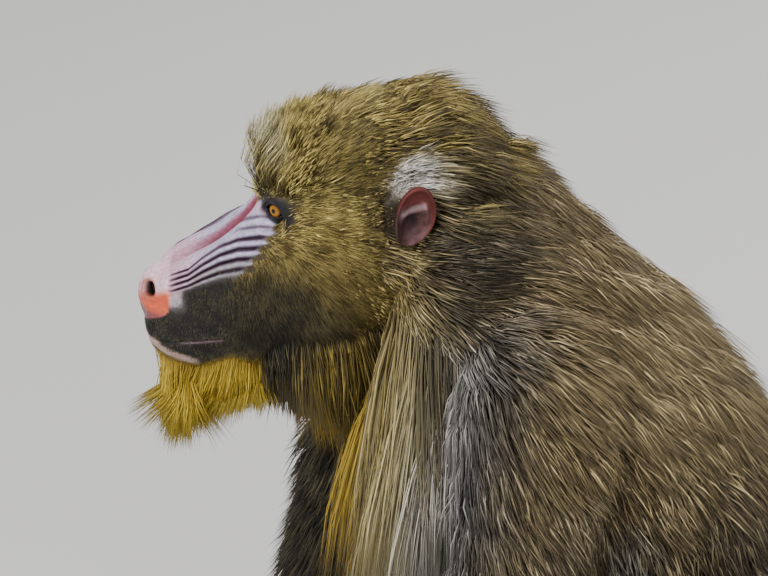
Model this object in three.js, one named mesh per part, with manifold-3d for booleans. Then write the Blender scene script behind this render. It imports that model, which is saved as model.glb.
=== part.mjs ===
// A life-size adult male mandrill that sits on its rump with both hands on the ground, its right arm reaching forward.
// Millimetres, +Z up. It faces -Y with its left side towards +X, and the origin is on the flat seat under its rump.
import * as THREE from "three";
import { mergeVertices } from "three/addons/utils/BufferGeometryUtils.js";
import Module from "manifold-3d";

const wasm = await Module();
wasm.setup();

// Driving dimensions
const GAP = 0.35; // clear space between neighbouring pieces
const FLOOR_DEPTH = 80; // how far below the ground the flats are cut
const ROOT_DEPTH = 8; // how far a lock that hangs clear is rooted in

const point = (x, y, z) => new THREE.Vector3(x, y, z);
const ACROSS = point(1, 0, 0);
const DOWN = point(0, 0, -1);
const degrees = THREE.MathUtils.degToRad;

// Seeded draws, so that the locks vary and every build is the same
let seed = 7;
function vary(spread) {
  seed = (seed * 16807) % 2147483647;
  return ((seed / 2147483647) * 2 - 1) * spread;
}

// A closed three.js geometry as a solid, turned to face outwards
function solidOf(geometry) {
  const bare = geometry.clone();
  bare.deleteAttribute("normal");
  bare.deleteAttribute("uv");
  const merged = mergeVertices(bare, 1e-4);
  const vertProperties = new Float32Array(merged.attributes.position.array);
  const triVerts = new Uint32Array(merged.index.array);
  if (signedVolume(vertProperties, triVerts) < 0)
    for (let i = 0; i < triVerts.length; i += 3)
      [triVerts[i + 1], triVerts[i + 2]] = [triVerts[i + 2], triVerts[i + 1]];
  return new wasm.Manifold(new wasm.Mesh({ numProp: 3, vertProperties, triVerts }));
}

function signedVolume(places, corners) {
  const at = (i) => new THREE.Vector3().fromArray(places, 3 * corners[i]);
  let sum = 0;
  for (let i = 0; i < corners.length; i += 3)
    sum += at(i).dot(at(i + 1).cross(at(i + 2)));
  return sum / 6;
}

const join = (solids) => wasm.Manifold.union(solids);

// The largest closed surface of a solid
function largest(solid) {
  const bodies = solid.decompose().sort((a, b) => b.volume() - a.volume());
  return bodies[0];
}

// Rings of equal count joined by faces, closed at both ends by fans to the two end points
function skinOver(rings, first, last) {
  const sides = rings[0].length;
  const points = [...rings.flat(), first, last];
  const corners = [];
  for (let i = 0; i + 1 < rings.length; i++)
    for (let j = 0; j < sides; j++) {
      const a = i * sides + j;
      const b = i * sides + ((j + 1) % sides);
      corners.push(a, b, b + sides, a, b + sides, a + sides);
    }
  const top = (rings.length - 1) * sides;
  for (let j = 0; j < sides; j++) {
    const next = (j + 1) % sides;
    corners.push(points.length - 2, next, j, points.length - 1, top + j, top + next);
  }
  const geometry = new THREE.BufferGeometry().setFromPoints(points);
  return geometry.setIndex(corners);
}

// A rounded body along a line. Each station is [x, y, z, half width, half depth behind, half depth in front]. Relief
// raises its surface by millimetres worked out from the share of the length and the angle.
class Flesh {
  constructor(stations, { upright = false, across = ACROSS, power = 1, relief = () => 0 } = {}) {
    const smooth = (values) => new THREE.CatmullRomCurve3(values, false, "catmullrom", 0.5);
    this.line = smooth(stations.map(([x, y, z]) => point(x, y, z)));
    this.sizes = smooth(stations.map(([, , , wide, back, front = back]) => point(wide, back, front)));
    this.upright = upright;
    this.across = across;
    this.power = power;
    this.relief = relief;
  }

  // Where the line is, and the directions along, across and out of the back there
  frame(t) {
    const centre = this.line.getPoint(t);
    const along = this.line.getTangent(t);
    if (this.upright) along.set(0, Math.sign(along.y), 0);
    const side = this.across.clone().addScaledVector(along, -along.dot(this.across)).normalize();
    return { centre, along, side, back: along.clone().cross(side) };
  }

  // The surface at a share of the length and an angle from the left side round by the back
  surface(t, angle, grow = 0) {
    const { centre, along, side, back } = this.frame(t);
    const { x: wide, y: behind, z: before } = this.sizes.getPoint(t);
    const c = Math.cos(degrees(angle));
    const s = Math.sin(degrees(angle));
    const deep = s > 0 ? behind : before;
    const bulge = (value) => Math.sign(value) * Math.abs(value) ** this.power;
    const raised = grow + this.relief(t, angle);
    const at = centre
      .clone()
      .addScaledVector(side, (wide + raised) * bulge(c))
      .addScaledVector(back, (deep + raised) * bulge(s));
    const out = side.clone().multiplyScalar(c / wide).addScaledVector(back, s / deep).normalize();
    return { at, out, along };
  }

  // The closed solid from one share of the length to another, with a number of sides or a list of their angles. Open
  // ends bulge, and cuts are flat and leave half a gap.
  solid(from, to, rings, sides, grow = 0) {
    const angles = Array.isArray(sides) ? sides : Array.from({ length: sides }, (_, j) => (360 * (j + 0.5)) / sides);
    const shift = (t, way) => (t === 0 || t === 1 ? grow * way : (grow - GAP / 2) * way);
    const loops = [];
    for (let i = 0; i <= rings; i++) {
      const t = from + ((to - from) * i) / rings;
      const move = i === 0 ? shift(from, -1) : i === rings ? shift(to, 1) : 0;
      const { along } = this.frame(t);
      loops.push(angles.map((angle) => this.surface(t, angle, grow).at.addScaledVector(along, move)));
    }
    const middle = (loop) => loop.reduce((sum, p) => sum.add(p), point(0, 0, 0)).divideScalar(angles.length);
    const cap = (t, loop, way) => {
      const bulge = t === 0 || t === 1 ? 0.35 * this.sizes.getPoint(t).x : 0;
      return middle(loop).addScaledVector(this.frame(t).along, way * bulge);
    };
    return solidOf(skinOver(loops, cap(from, loops[0], -1), cap(to, loops[rings], 1)));
  }
}

// A ball stretched to its three half sizes, tilted about X and turned about Z
function ball([x, y, z], [a, b, c], { sides = 11, rings = 7, tilt = 0, turn = 0, grow = 0 } = {}) {
  const geometry = new THREE.SphereGeometry(1, sides, rings);
  geometry.rotateX(Math.PI / 2).scale(a + grow, b + grow, c + grow);
  geometry.rotateX(degrees(tilt)).rotateZ(degrees(turn)).translate(x, y, z);
  return solidOf(geometry);
}

// A flat tapered lock: it leaves its root along the lie, lifts off, and bends back towards its tip
function lock({ root, out, lie, long, wide, thick, lift, bend = 0, sag = 0 }, grow = 0) {
  const sink = Math.min(0.12 * long, 9);
  const edge = lie.clone().cross(out).normalize();
  const place = (s) =>
    root
      .clone()
      .addScaledVector(lie, long * s)
      .addScaledVector(out, -sink + (sink + lift) * (1 - (1 - s) ** 2) - bend * s * s)
      .addScaledVector(DOWN, sag * s * s);
  const loops = [
    [0, 0.8, 1],
    [0.5, 1, 0.85],
  ].map(([s, broad, full]) => {
    const half = (wide * broad) / 2 + 4 * grow;
    const flat = (thick * full) / 2 + 2 * grow;
    return [
      place(s).addScaledVector(edge, half),
      place(s).addScaledVector(out, flat),
      place(s).addScaledVector(edge, -half),
      place(s).addScaledVector(out, -flat),
    ];
  });
  const end = place(1).sub(place(0.5)).normalize().multiplyScalar(14 * grow).add(place(1));
  return solidOf(skinOver(loops, place(0).addScaledVector(lie, -1 - grow), end));
}

// The frame: each Flesh below runs from the root of its part to its end

// Trunk: from the seat up the back to the neck, which ends inside the head
const TRUNK = new Flesh([
  [0, 12, -6, 66, 50, 52],
  [0, 12, 50, 108, 76, 82],
  [0, 6, 115, 120, 90, 98],
  [0, -8, 185, 114, 96, 104],
  [0, -38, 260, 114, 102, 106],
  [0, -90, 335, 122, 110, 104],
  [0, -148, 410, 120, 104, 104],
  [0, -188, 468, 100, 94, 88],
  [0, -218, 504, 82, 84, 74],
  [0, -252, 528, 66, 60, 56],
]);
const TRUNK_CUTS = { rump: [0, 0.25], loin: [0.25, 0.47], chest: [0.47, 0.73], neck: [0.73, 1] };

// Head: upright slices from the back of the skull to the lips. Its relief is the swelling on each side of the nose and
// the ribs along it, which fan out backwards and fade before the eye.
const SWELLING = { angle: 48, spread: 26, high: 9 };
const RIBS = { count: 4, low: 4, high: 68, deep: 3.6 };
const MUZZLE = { start: 0.62, full: 0.7, fade: 0.93, end: 1 };
const ribPitch = (RIBS.high - RIBS.low) / RIBS.count;

function muzzleRelief(t, angle) {
  const { smoothstep } = THREE.MathUtils;
  const strength = smoothstep(t, MUZZLE.start, MUZZLE.full) * (1 - smoothstep(t, MUZZLE.fade, MUZZLE.end));
  const turned = angle > 90 && angle < 270 ? 180 - angle : angle > 180 ? angle - 360 : angle;
  const swelling = SWELLING.high * Math.exp(-(((turned - SWELLING.angle) / SWELLING.spread) ** 2));
  if (turned < RIBS.low || turned > RIBS.high) return strength * swelling;
  const wave = (1 - Math.cos((2 * Math.PI * (turned - RIBS.low)) / ribPitch)) / 2;
  return strength * (swelling + RIBS.deep * (wave - 0.5));
}

const HEAD = new Flesh(
  [
    [0, -176, 524, 42, 32, 38],
    [0, -200, 534, 60, 56, 72],
    [0, -232, 538, 69, 70, 106],
    [0, -270, 530, 73, 77, 116],
    [0, -304, 518, 68, 77, 114],
    [0, -330, 503, 57, 68, 105],
    [0, -349, 482, 44, 46, 90],
    [0, -374, 463, 36, 36, 74],
    [0, -400, 451, 33, 32, 62],
    [0, -417, 443, 30, 29, 50],
    [0, -427, 438, 24, 26, 34],
  ],
  { upright: true, power: 0.9, relief: muzzleRelief },
);
const oneSide = [-75, -52, -30, -12];
for (let k = 0; k <= 2 * RIBS.count; k++) oneSide.push(RIBS.low + (ribPitch * k) / 2);
const HEAD_ANGLES = [-90, ...oneSide, 79, 90, 101, ...oneSide.map((angle) => 180 - angle).reverse()];

const BROW = { y: -333, z: 548, reach: 52, droop: 16, thick: 10.5 };
const EYE = { x: 27, y: -327, z: 532.5, r: 11.5, lid: 2.4 };
const ORBIT = { x: 41, y: -344, z: 530, wide: 17, deep: 20, high: 12.5 };
const SLIT = { turn: 50, wide: 10.5, deep: 9, high: 5 };
const EAR = { x: 70, y: -230, z: 552, wide: 17, deep: 9, high: 23, wall: 3.2 };
const NOSE = { y: -419, z: 449, wide: 23, deep: 17, high: 25 };
const NOSTRIL = { x: 10.5, y: -436, z: 455, wide: 5, deep: 9, high: 6.5 };
const MOUTH = { front: 418, corner: 425, cornerY: -369, gap: 1.2, lip: 4.2 };

// Limbs: an arm hangs from inside the shoulder to the wrist. A thigh runs from inside the rump to the knee, where the
// shank starts inside it and folds down to the ankle.
const SHOULDER = { inner: [66, -165, 462], top: [94, -150, 436], ball: [110, -141, 396] };
const ARMS = {
  left: { elbow: [144, -150, 212], wrist: [105, -242, 30], front: 58 },
  right: { elbow: [-124, -266, 264], wrist: [-112, -333, 30], front: 42 },
};
const ELBOW_SHARE = 4 / 7;
const HIP = { inner: [40, 26, 86], ball: [84, 2, 108] };
const KNEE = [236, -60, 234];
const ANKLE = [208, -112, 44];

const mixed = (a, b, s) => a.map((value, i) => value + (b[i] - value) * s);
const onSide = (way, [x, y, z]) => [way * x, y, z];

function armOf(side) {
  const way = side === "left" ? 1 : -1;
  const { elbow, wrist, front } = ARMS[side];
  const ballAt = onSide(way, SHOULDER.ball);
  return new Flesh([
    [...onSide(way, SHOULDER.inner), 26, 30],
    [...onSide(way, SHOULDER.top), 44, front * 0.85, 50],
    [...ballAt, 51, front, 58],
    [...mixed(ballAt, elbow, 0.55), 43, 50],
    [...elbow, 37, 41],
    [...mixed(elbow, wrist, 0.4), 35, 37],
    [...mixed(elbow, wrist, 0.78), 25, 26],
    [...wrist, 24, 18],
  ]);
}

function thighOf(way) {
  const knee = onSide(way, KNEE);
  const hip = onSide(way, HIP.ball);
  return new Flesh(
    [
      [...onSide(way, HIP.inner), 50, 46],
      [...hip, 86, 80],
      [...mixed(hip, knee, 0.38), 80, 76],
      [...mixed(hip, knee, 0.72), 60, 62],
      [...knee, 47, 50],
      [...mixed(hip, knee, 1.13), 30, 32],
    ],
    { across: point(0, 1, 0) },
  );
}

function shankOf(way) {
  const knee = onSide(way, KNEE);
  const ankle = onSide(way, ANKLE);
  return new Flesh(
    [
      [...mixed(knee, ankle, -0.06), 36, 36],
      [...mixed(knee, ankle, 0.18), 43, 44],
      [...mixed(knee, ankle, 0.4), 40, 42],
      [...mixed(knee, ankle, 0.75), 28, 30],
      [...ankle, 25, 27],
    ],
    { across: point(0, 1, 0) },
  );
}

const TAIL = new Flesh([
  [0, 70, 96, 20, 20],
  [0, 98, 118, 18, 18],
  [0, 116, 150, 14, 14],
  [0, 120, 182, 9, 9],
]);

// A hand or foot lies flat: a palm or sole and five digits that fan out from its front edge
function paw({ heel, front, wide, high, digits, thumb }, grow) {
  const [hx, hy] = heel;
  const [fx, fy] = front;
  const across = point(hy - fy, fx - hx, 0).normalize();
  const ahead = point(fx - hx, fy - hy, 0);
  const length = ahead.length();
  ahead.normalize();
  const spot = (along, aside, z) =>
    point(hx, hy, z).addScaledVector(ahead, along).addScaledVector(across, aside).toArray();
  const sole = new Flesh(
    [
      [...spot(0, 0, high * 0.62), wide * 0.3, high * 0.62],
      [...spot(length * 0.3, 0, high * 0.55), wide * 0.4, high * 0.62],
      [...spot(length * 0.72, 0, high * 0.42), wide * 0.5, high * 0.5],
      [...spot(length, 0, high * 0.32), wide * 0.46, high * 0.4],
    ],
    { across },
  );
  const finger = ({ along, aside, fan, long, thick }) => {
    const turn = ahead.clone().applyAxisAngle(point(0, 0, 1), degrees(fan));
    const from = point(...spot(along, aside, thick * 0.9));
    const step = (s, z) => from.clone().addScaledVector(turn, long * s).setZ(z).toArray();
    return new Flesh(
      [
        [...step(-0.25, thick * 0.9), thick, thick],
        [...step(0.4, thick * 1.25), thick * 0.95, thick * 0.9],
        [...step(1, thick * 0.65), thick * 0.6, thick * 0.6],
      ],
      { across: across.clone().applyAxisAngle(point(0, 0, 1), degrees(fan)) },
    ).solid(0, 1, 3, 5, grow);
  };
  return join([
    sole.solid(0, 1, 4, 8, grow),
    ...digits.map(([share, long, fan]) =>
      finger({ along: length * 0.9, aside: wide * share, fan, long, thick: high * 0.33 })),
    finger(thumb),
  ]);
}

const HAND_DIGITS = [[-0.36, 52, 9], [-0.12, 62, 3], [0.12, 60, -3], [0.36, 48, -9]];
const FOOT_DIGITS = [[-0.36, 46, 8], [-0.12, 52, 3], [0.12, 50, -3], [0.36, 42, -9]];

function hand(side, grow) {
  const way = side === "left" ? 1 : -1;
  const [x, y] = ARMS[side].wrist;
  return paw({
    heel: [x, y + 12],
    front: [x - way * 6, y - 74],
    wide: 66,
    high: 27,
    digits: HAND_DIGITS,
    thumb: { along: 34, aside: way * 26, fan: -way * 38, long: 40, thick: 8.5 },
  }, grow);
}

function foot(way, grow) {
  return paw({
    heel: [way * 204, -84],
    front: [way * 222, -208],
    wide: 68,
    high: 33,
    digits: FOOT_DIGITS,
    thumb: { along: 62, aside: way * 30, fan: -way * 34, long: 54, thick: 11 },
  }, grow);
}

// The head in one piece: skull and muzzle, brow ridge, lips and lids

function brow(grow) {
  const { y, z, reach, droop, thick } = BROW;
  return new Flesh([
    [-reach, y + 22, z - droop, thick * 0.6, thick * 0.8],
    [-reach * 0.6, y + 2, z - 1, thick, thick * 1.15],
    [0, y - 3, z - 4, thick * 0.85, thick],
    [reach * 0.6, y + 2, z - 1, thick, thick * 1.15],
    [reach, y + 22, z - droop, thick * 0.6, thick * 0.8],
  ], { across: point(0, 0, 1) }).solid(0, 1, 6, 6, grow);
}

// Both lips: cords round the front of the muzzle just above and below the line of the mouth
function lip(above, grow) {
  const stations = [];
  for (let k = 0; k <= 8; k++) {
    const share = Math.abs(k / 4 - 1);
    const y = MOUTH.cornerY - 58 * (1 - share ** 2.4);
    const x = Math.sign(k - 4) * 36 * share ** 0.55;
    const z = MOUTH.front + (MOUTH.corner - MOUTH.front) * share ** 2 + above * MOUTH.lip * 0.8;
    stations.push([x, y, z, MOUTH.lip, MOUTH.lip]);
  }
  return new Flesh(stations, { across: point(0, 0, 1) }).solid(0, 1, 10, 4, grow);
}

// The hollow round each eye, the lids over the eyeball, and the slit between them, which faces forwards and outwards
const orbit = (way) =>
  ball([way * ORBIT.x, ORBIT.y, ORBIT.z], [ORBIT.wide, ORBIT.deep, ORBIT.high], { sides: 8, rings: 5, turn: way * 25 });
const lid = (way) => ball([way * EYE.x, EYE.y, EYE.z], Array(3).fill(EYE.r + EYE.lid), { sides: 10, rings: 6 });
function slit(way) {
  const forward = point(way * Math.sin(degrees(SLIT.turn)), -Math.cos(degrees(SLIT.turn)), 0);
  const centre = point(way * EYE.x, EYE.y, EYE.z - 1).addScaledVector(forward, EYE.r);
  return ball(centre, [SLIT.wide, SLIT.deep, SLIT.high], { sides: 8, rings: 4, turn: way * SLIT.turn });
}

const eyeball = (way, grow) =>
  ball([way * EYE.x, EYE.y, EYE.z], [EYE.r, EYE.r, EYE.r], { sides: 10, rings: 6, grow });

function nose(grow) {
  const { y, z, wide, deep, high } = NOSE;
  const tip = join([
    ball([0, y, z], [wide * 0.72, deep, high], { sides: 10, rings: 7, grow }),
    ...[1, -1].map((way) =>
      ball([way * wide * 0.42, y + 1, z - 1], [wide * 0.6, deep * 0.9, high * 0.72], { sides: 9, rings: 6, grow })),
  ]);
  if (grow) return tip;
  const { wide: a, deep: b, high: c } = NOSTRIL;
  return tip.subtract(join([1, -1].map((way) =>
    ball([way * NOSTRIL.x, NOSTRIL.y, NOSTRIL.z], [a, b, c], { sides: 8, rings: 5, tilt: -18 }))));
}

function ear(way, grow) {
  const { x, y, z, wide, deep, high, wall } = EAR;
  const outer = ball([way * x, y, z], [deep + wall, wide, high], { sides: 11, rings: 7, grow });
  if (grow) return outer;
  const cup = [way * (x + wall + 5), y - 1.5, z + 1];
  return outer.subtract(ball(cup, [deep + 1, wide - wall, high - wall], { sides: 11, rings: 7 }));
}

// A thin slab right across the head from one [y, z] to another, which parts it into nodes
function slab([y0, z0], [y1, z1], thick) {
  const geometry = new THREE.BoxGeometry(400, Math.hypot(y1 - y0, z1 - z0), thick);
  geometry.rotateX(Math.atan2(z1 - z0, y1 - y0)).translate(0, (y0 + y1) / 2, (z0 + z1) / 2);
  return solidOf(geometry);
}

// The dense underside of the beard, which its locks reach past
const beardCore = (grow) => ball([0, -384, 393], [21, 40, 26], { sides: 9, rings: 6, grow });

const headBlank = (grow) =>
  join([HEAD.solid(0, 1, 14, HEAD_ANGLES, grow), brow(grow), lip(1, grow), lip(-1, grow), beardCore(grow)]);

function partHead() {
  const { front, corner, cornerY, gap } = MOUTH;
  const both = (make) => join([make(1), make(-1)]);
  const whole = join([headBlank(0).subtract(both(orbit)), both(lid)])
    .subtract(join([both((way) => eyeball(way, GAP)), both(slit), nose(GAP)]));
  const cornerAt = [cornerY, corner];
  const parted = whole.subtract(join([
    slab([-480, front - 0.4], cornerAt, gap),
    slab(cornerAt, [-286, 446], GAP),
    slab([-286, 446], [-256, 350], GAP),
    slab([-348.5, 570], cornerAt, GAP),
  ]));
  const [skull, ...rest] = parted.decompose().sort((a, b) => b.volume() - a.volume());
  const top = (solid) => solid.boundingBox().max[2];
  const [snout, jaw] = rest.slice(0, 2).sort((a, b) => top(b) - top(a));
  return { skull, snout, jaw };
}

// Locks in tiers. Each tier runs round a Flesh at one share of its length, and its locks lie along it, towards its root
// when way is -1, with a lean to the side, a pull towards the ground along the surface, and a hang away from it.
function tiers(flesh, rows, { way = -1, pull = 0 } = {}) {
  const made = [];
  for (const row of rows) {
    const { t, from, to, count, long, wide, thick = 7, lift = 12, bend = 0, sag = 0, lean = 0, hang = 0 } = row;
    for (let k = 0; k < count; k++) {
      const share = (k + 0.5 + vary(0.2)) / count;
      const { at, out, along } = flesh.surface(t + vary(0.008), from + (to - from) * share);
      const around = out.clone().cross(along);
      const lie = along
        .clone()
        .multiplyScalar(way)
        .addScaledVector(around, lean * (2 * share - 1) + vary(0.08))
        .addScaledVector(DOWN, row.pull ?? pull);
      lie.addScaledVector(out, -lie.dot(out)).normalize().addScaledVector(DOWN, hang).normalize();
      const face = hang ? out.clone().setZ(0).addScaledVector(along, -way * 0.4) : out.clone();
      face.addScaledVector(lie, -face.dot(lie)).normalize();
      const size = 1 + vary(0.13);
      const root = at.addScaledVector(out, hang ? -ROOT_DEPTH : 0);
      made.push({ root, out: face, lie, long: long * size, wide: wide * size, thick, lift: lift * size, bend, sag });
    }
  }
  return made;
}

const MANE = tiers(TRUNK, [
  { t: 0.965, from: 22, to: 158, count: 5, long: 98, wide: 46, lift: 20, lean: 0.2 },
  { t: 0.885, from: -28, to: 208, count: 6, long: 100, wide: 58, lift: 23, bend: 3, pull: 0.35 },
  { t: 0.795, from: -32, to: 212, count: 6, long: 102, wide: 62, lift: 24, bend: 4, pull: 0.3 },
  { t: 0.93, from: -125, to: -55, count: 3, long: 84, wide: 44, hang: 1.6, lift: 16 },
  { t: 0.82, from: -140, to: -40, count: 4, long: 116, wide: 50, hang: 1.8, lift: 30 },
]);
const CAPE = tiers(TRUNK, [
  { t: 0.72, from: -22, to: 202, count: 7, long: 102, wide: 60, lift: 25, bend: 4, pull: 0.2 },
  { t: 0.645, from: -20, to: 200, count: 7, long: 100, wide: 60, lift: 24, bend: 5, pull: 0.2 },
  { t: 0.57, from: -16, to: 196, count: 7, long: 96, wide: 60, lift: 22, bend: 6, pull: 0.2 },
  { t: 0.5, from: -12, to: 192, count: 6, long: 90, wide: 60, lift: 19, bend: 7, pull: 0.2 },
  { t: 0.7, from: -134, to: -46, count: 4, long: 128, wide: 50, lift: 56, hang: 1.8 },
  { t: 0.61, from: -124, to: -56, count: 3, long: 112, wide: 46, lift: 56, hang: 1.6 },
]);
const FLANK = tiers(TRUNK, [
  { t: 0.445, from: -8, to: 188, count: 5, long: 88, wide: 58, lift: 14, bend: 8 },
  { t: 0.37, from: -4, to: 184, count: 5, long: 82, wide: 58, lift: 12, bend: 8 },
  { t: 0.295, from: 8, to: 172, count: 4, long: 74, wide: 54, lift: 10, bend: 7 },
]);
const SEAT = tiers(TRUNK, [
  { t: 0.215, from: 10, to: 66, count: 2, long: 56, wide: 40, lift: 7, bend: 4 },
  { t: 0.215, from: 114, to: 170, count: 2, long: 56, wide: 40, lift: 7, bend: 4 },
]);
const CREST = tiers(HEAD, [
  { t: 0.42, from: 60, to: 120, count: 3, long: 66, wide: 34, thick: 6, lift: 16, bend: 4 },
  { t: 0.33, from: 48, to: 132, count: 4, long: 76, wide: 38, thick: 6, lift: 21, bend: 6 },
  { t: 0.235, from: 34, to: 146, count: 4, long: 80, wide: 42, thick: 6, lift: 19, bend: 10 },
  { t: 0.13, from: 30, to: 150, count: 3, long: 76, wide: 48, thick: 6, lift: 8, bend: 10, sag: 10 },
]);
const WHISKERS = [1, -1].flatMap((way) => {
  const turned = (angle) => (way > 0 ? angle : 180 - angle);
  const row = (t, high, low, count, long, lift) =>
    ({ t, from: turned(high), to: turned(low), count, long, wide: 34, thick: 6, lift, bend: 2 });
  return tiers(HEAD, [
    row(0.5, -6, -46, 2, 58, 9),
    row(0.4, -2, -66, 2, 68, 14),
    row(0.27, -12, -74, 3, 76, 18),
  ], { pull: 0.4 });
});
const BEARD = tiers(HEAD, [
  { t: 0.95, from: -128, to: -52, count: 3, long: 66, wide: 30, thick: 8, lift: 6, hang: 3.2 },
  { t: 0.86, from: -150, to: -30, count: 4, long: 70, wide: 34, thick: 8, lift: 6, hang: 2.4 },
  { t: 0.75, from: -150, to: -30, count: 4, long: 66, wide: 36, thick: 8, lift: 7, hang: 1.8 },
], { pull: 0.5 });

// Longer hair on the limbs: a fringe down the back of the arm, and tiers on the outside of the thigh
const facing = (way, from, to) => (way > 0 ? { from, to } : { from: 180 - to, to: 180 - from });
const sleeve = (limb, way) => tiers(limb, [
  { t: 0.2, ...facing(way, -70, 80), count: 4, long: 78, wide: 42, lift: 10, bend: 3 },
  { t: 0.36, ...facing(way, -60, 100), count: 3, long: 76, wide: 44, lift: 11, bend: 2 },
], { way: 1 });
const cuff = (limb, way) => tiers(limb, [
  { t: 0.6, ...facing(way, -10, 150), count: 2, long: 64, wide: 46, lift: 10, bend: 3 },
  { t: 0.72, ...facing(way, -10, 150), count: 3, long: 54, wide: 32, lift: 8, bend: 3 },
], { way: 1 });
const breeches = (thigh, way) => tiers(thigh, [
  { t: 0.3, from: way * 15, to: way * 165, count: 4, long: 78, wide: 44, lift: 9, bend: 4 },
  { t: 0.5, from: way * 10, to: way * 170, count: 3, long: 70, wide: 50, lift: 9, bend: 4 },
], { way: 1 });

// Every node is its plain body, that body grown by the gap, and the coat forms that grow from it
const nodes = [];
function node(name, colour, plain, grown, coat) {
  nodes.push({ name, colour, plain, grown, coat });
}
const asCoat = (locks) => (grow) => locks.map((shape) => lock(shape, grow));

for (const [way, side] of [[1, "left"], [-1, "right"]])
  node("eye_" + side, 0xb0702a, eyeball(way, 0), eyeball(way, GAP));
node("nose", 0xd9624f, nose(0), nose(GAP));
const { skull, snout, jaw } = partHead();
const headGrown = headBlank(GAP);
node("head", 0x6b6038, skull, headGrown, asCoat([...CREST, ...WHISKERS]));
node("snout", 0x8f93ad, snout, headGrown);
node("lower_jaw", 0x3f3a30, jaw, headGrown, asCoat(BEARD));
for (const [way, side] of [[1, "left"], [-1, "right"]])
  node("ear_" + side, 0xa5635e, ear(way, 0), ear(way, GAP));
const trunkCoats = { rump: asCoat(SEAT), loin: asCoat(FLANK), chest: asCoat(CAPE), neck: asCoat(MANE) };
for (const [name, [from, to]] of Object.entries(TRUNK_CUTS)) {
  const build = (grow) => TRUNK.solid(from, to, 4, 18, grow);
  node(name, 0x5d5341, build(0), build(GAP), trunkCoats[name]);
}
node("tail", 0x4f4738, TAIL.solid(0, 1, 5, 8, 0), TAIL.solid(0, 1, 5, 8, GAP));
for (const [way, side] of [[1, "left"], [-1, "right"]]) {
  const [arm, thigh, shank] = [armOf(side), thighOf(way), shankOf(way)];
  const limb = (name, flesh, from, to, rings, coat) => {
    const build = (grow) => flesh.solid(from, to, rings, 11, grow);
    node(name + side, 0x4d463a, build(0), build(GAP), coat);
  };
  limb("upper_arm_", arm, 0, ELBOW_SHARE, 5, asCoat(sleeve(arm, way)));
  limb("forearm_", arm, ELBOW_SHARE, 1, 4, asCoat(cuff(arm, way)));
  node("hand_" + side, 0x3a3230, hand(side, 0), hand(side, GAP));
  limb("thigh_", thigh, 0, 1, 6, asCoat(breeches(thigh, way)));
  limb("shank_", shank, 0, 1, 5);
  node("foot_" + side, 0x3a3230, foot(way, 0), foot(way, GAP));
}

// A solid less those of the others whose boxes reach it
function clearOf(solid, others) {
  const own = solid.boundingBox();
  const close = others.filter((other) => {
    const box = other.boundingBox();
    return [0, 1, 2].every((i) => own.min[i] <= box.max[i] && box.min[i] <= own.max[i]);
  });
  return close.length ? solid.subtract(join(close)) : solid;
}

// Bodies give way to those named before them, and coats to every body and to the coats named before them
const ground = solidOf(new THREE.BoxGeometry(3000, 3000, FLOOR_DEPTH).translate(0, 0, -FLOOR_DEPTH / 2));
const HEAD_PARTS = ["head", "snout", "lower_jaw"];
const together = (a, b) => HEAD_PARTS.includes(a.name) && HEAD_PARTS.includes(b.name);
for (const [i, one] of nodes.entries()) {
  const before = HEAD_PARTS.includes(one.name) ? [] : nodes.slice(0, i);
  one.body = clearOf(one.plain, before.map((other) => other.grown));
}
const parts = new THREE.Group();
const earlierCoats = [];
for (const one of nodes) {
  let whole = one.body;
  if (one.coat) {
    const others = nodes.filter((other) => other !== one && !together(one, other)).map((other) => other.grown);
    const away = one.name === "head" ? [snout, jaw] : one.name === "lower_jaw" ? [skull, snout] : [];
    whole = join([whole, clearOf(join(one.coat(0)), [...others, ...away, ...earlierCoats])]);
    earlierCoats.push(join(one.coat(GAP)));
  }
  const { numProp, vertProperties, triVerts } = largest(whole.subtract(ground)).getMesh();
  const geometry = new THREE.BufferGeometry();
  geometry.setAttribute("position", new THREE.BufferAttribute(vertProperties, numProp));
  geometry.setIndex(new THREE.BufferAttribute(triVerts, 1));
  geometry.computeVertexNormals();
  const finish = new THREE.MeshStandardMaterial({ color: one.colour, roughness: 0.9, metalness: 0 });
  const mesh = new THREE.Mesh(geometry, finish);
  mesh.name = one.name;
  parts.add(mesh);
}

export default parts;
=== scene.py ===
import math

import bpy
import numpy as np
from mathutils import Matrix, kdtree


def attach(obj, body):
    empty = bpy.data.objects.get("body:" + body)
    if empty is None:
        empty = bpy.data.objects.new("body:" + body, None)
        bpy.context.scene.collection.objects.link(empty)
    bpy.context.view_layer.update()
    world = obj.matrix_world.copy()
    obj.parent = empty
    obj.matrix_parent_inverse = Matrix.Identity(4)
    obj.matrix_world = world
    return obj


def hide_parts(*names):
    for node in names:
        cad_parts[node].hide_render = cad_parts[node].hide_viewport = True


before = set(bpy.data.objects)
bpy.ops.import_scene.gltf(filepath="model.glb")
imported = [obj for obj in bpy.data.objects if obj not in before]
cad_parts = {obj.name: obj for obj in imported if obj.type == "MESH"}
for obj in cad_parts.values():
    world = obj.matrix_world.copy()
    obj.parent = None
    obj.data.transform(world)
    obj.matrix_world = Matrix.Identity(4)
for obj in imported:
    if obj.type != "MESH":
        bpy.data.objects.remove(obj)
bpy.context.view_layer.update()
bpy.ops.object.select_all(action="DESELECT")

# The hide under the coat: one skin over trunk, head, limbs, hands, feet and tail. Each part starts as a
# sphere drawn out along its line, a coat's depth inside the body's outline. They are joined, fused into one
# surface and smoothed. Each station has its place, half width and half depths, all in millimetres.
MM = 0.001
FUSE = 2.4 * MM
GROUND = 0.6 * MM

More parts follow.
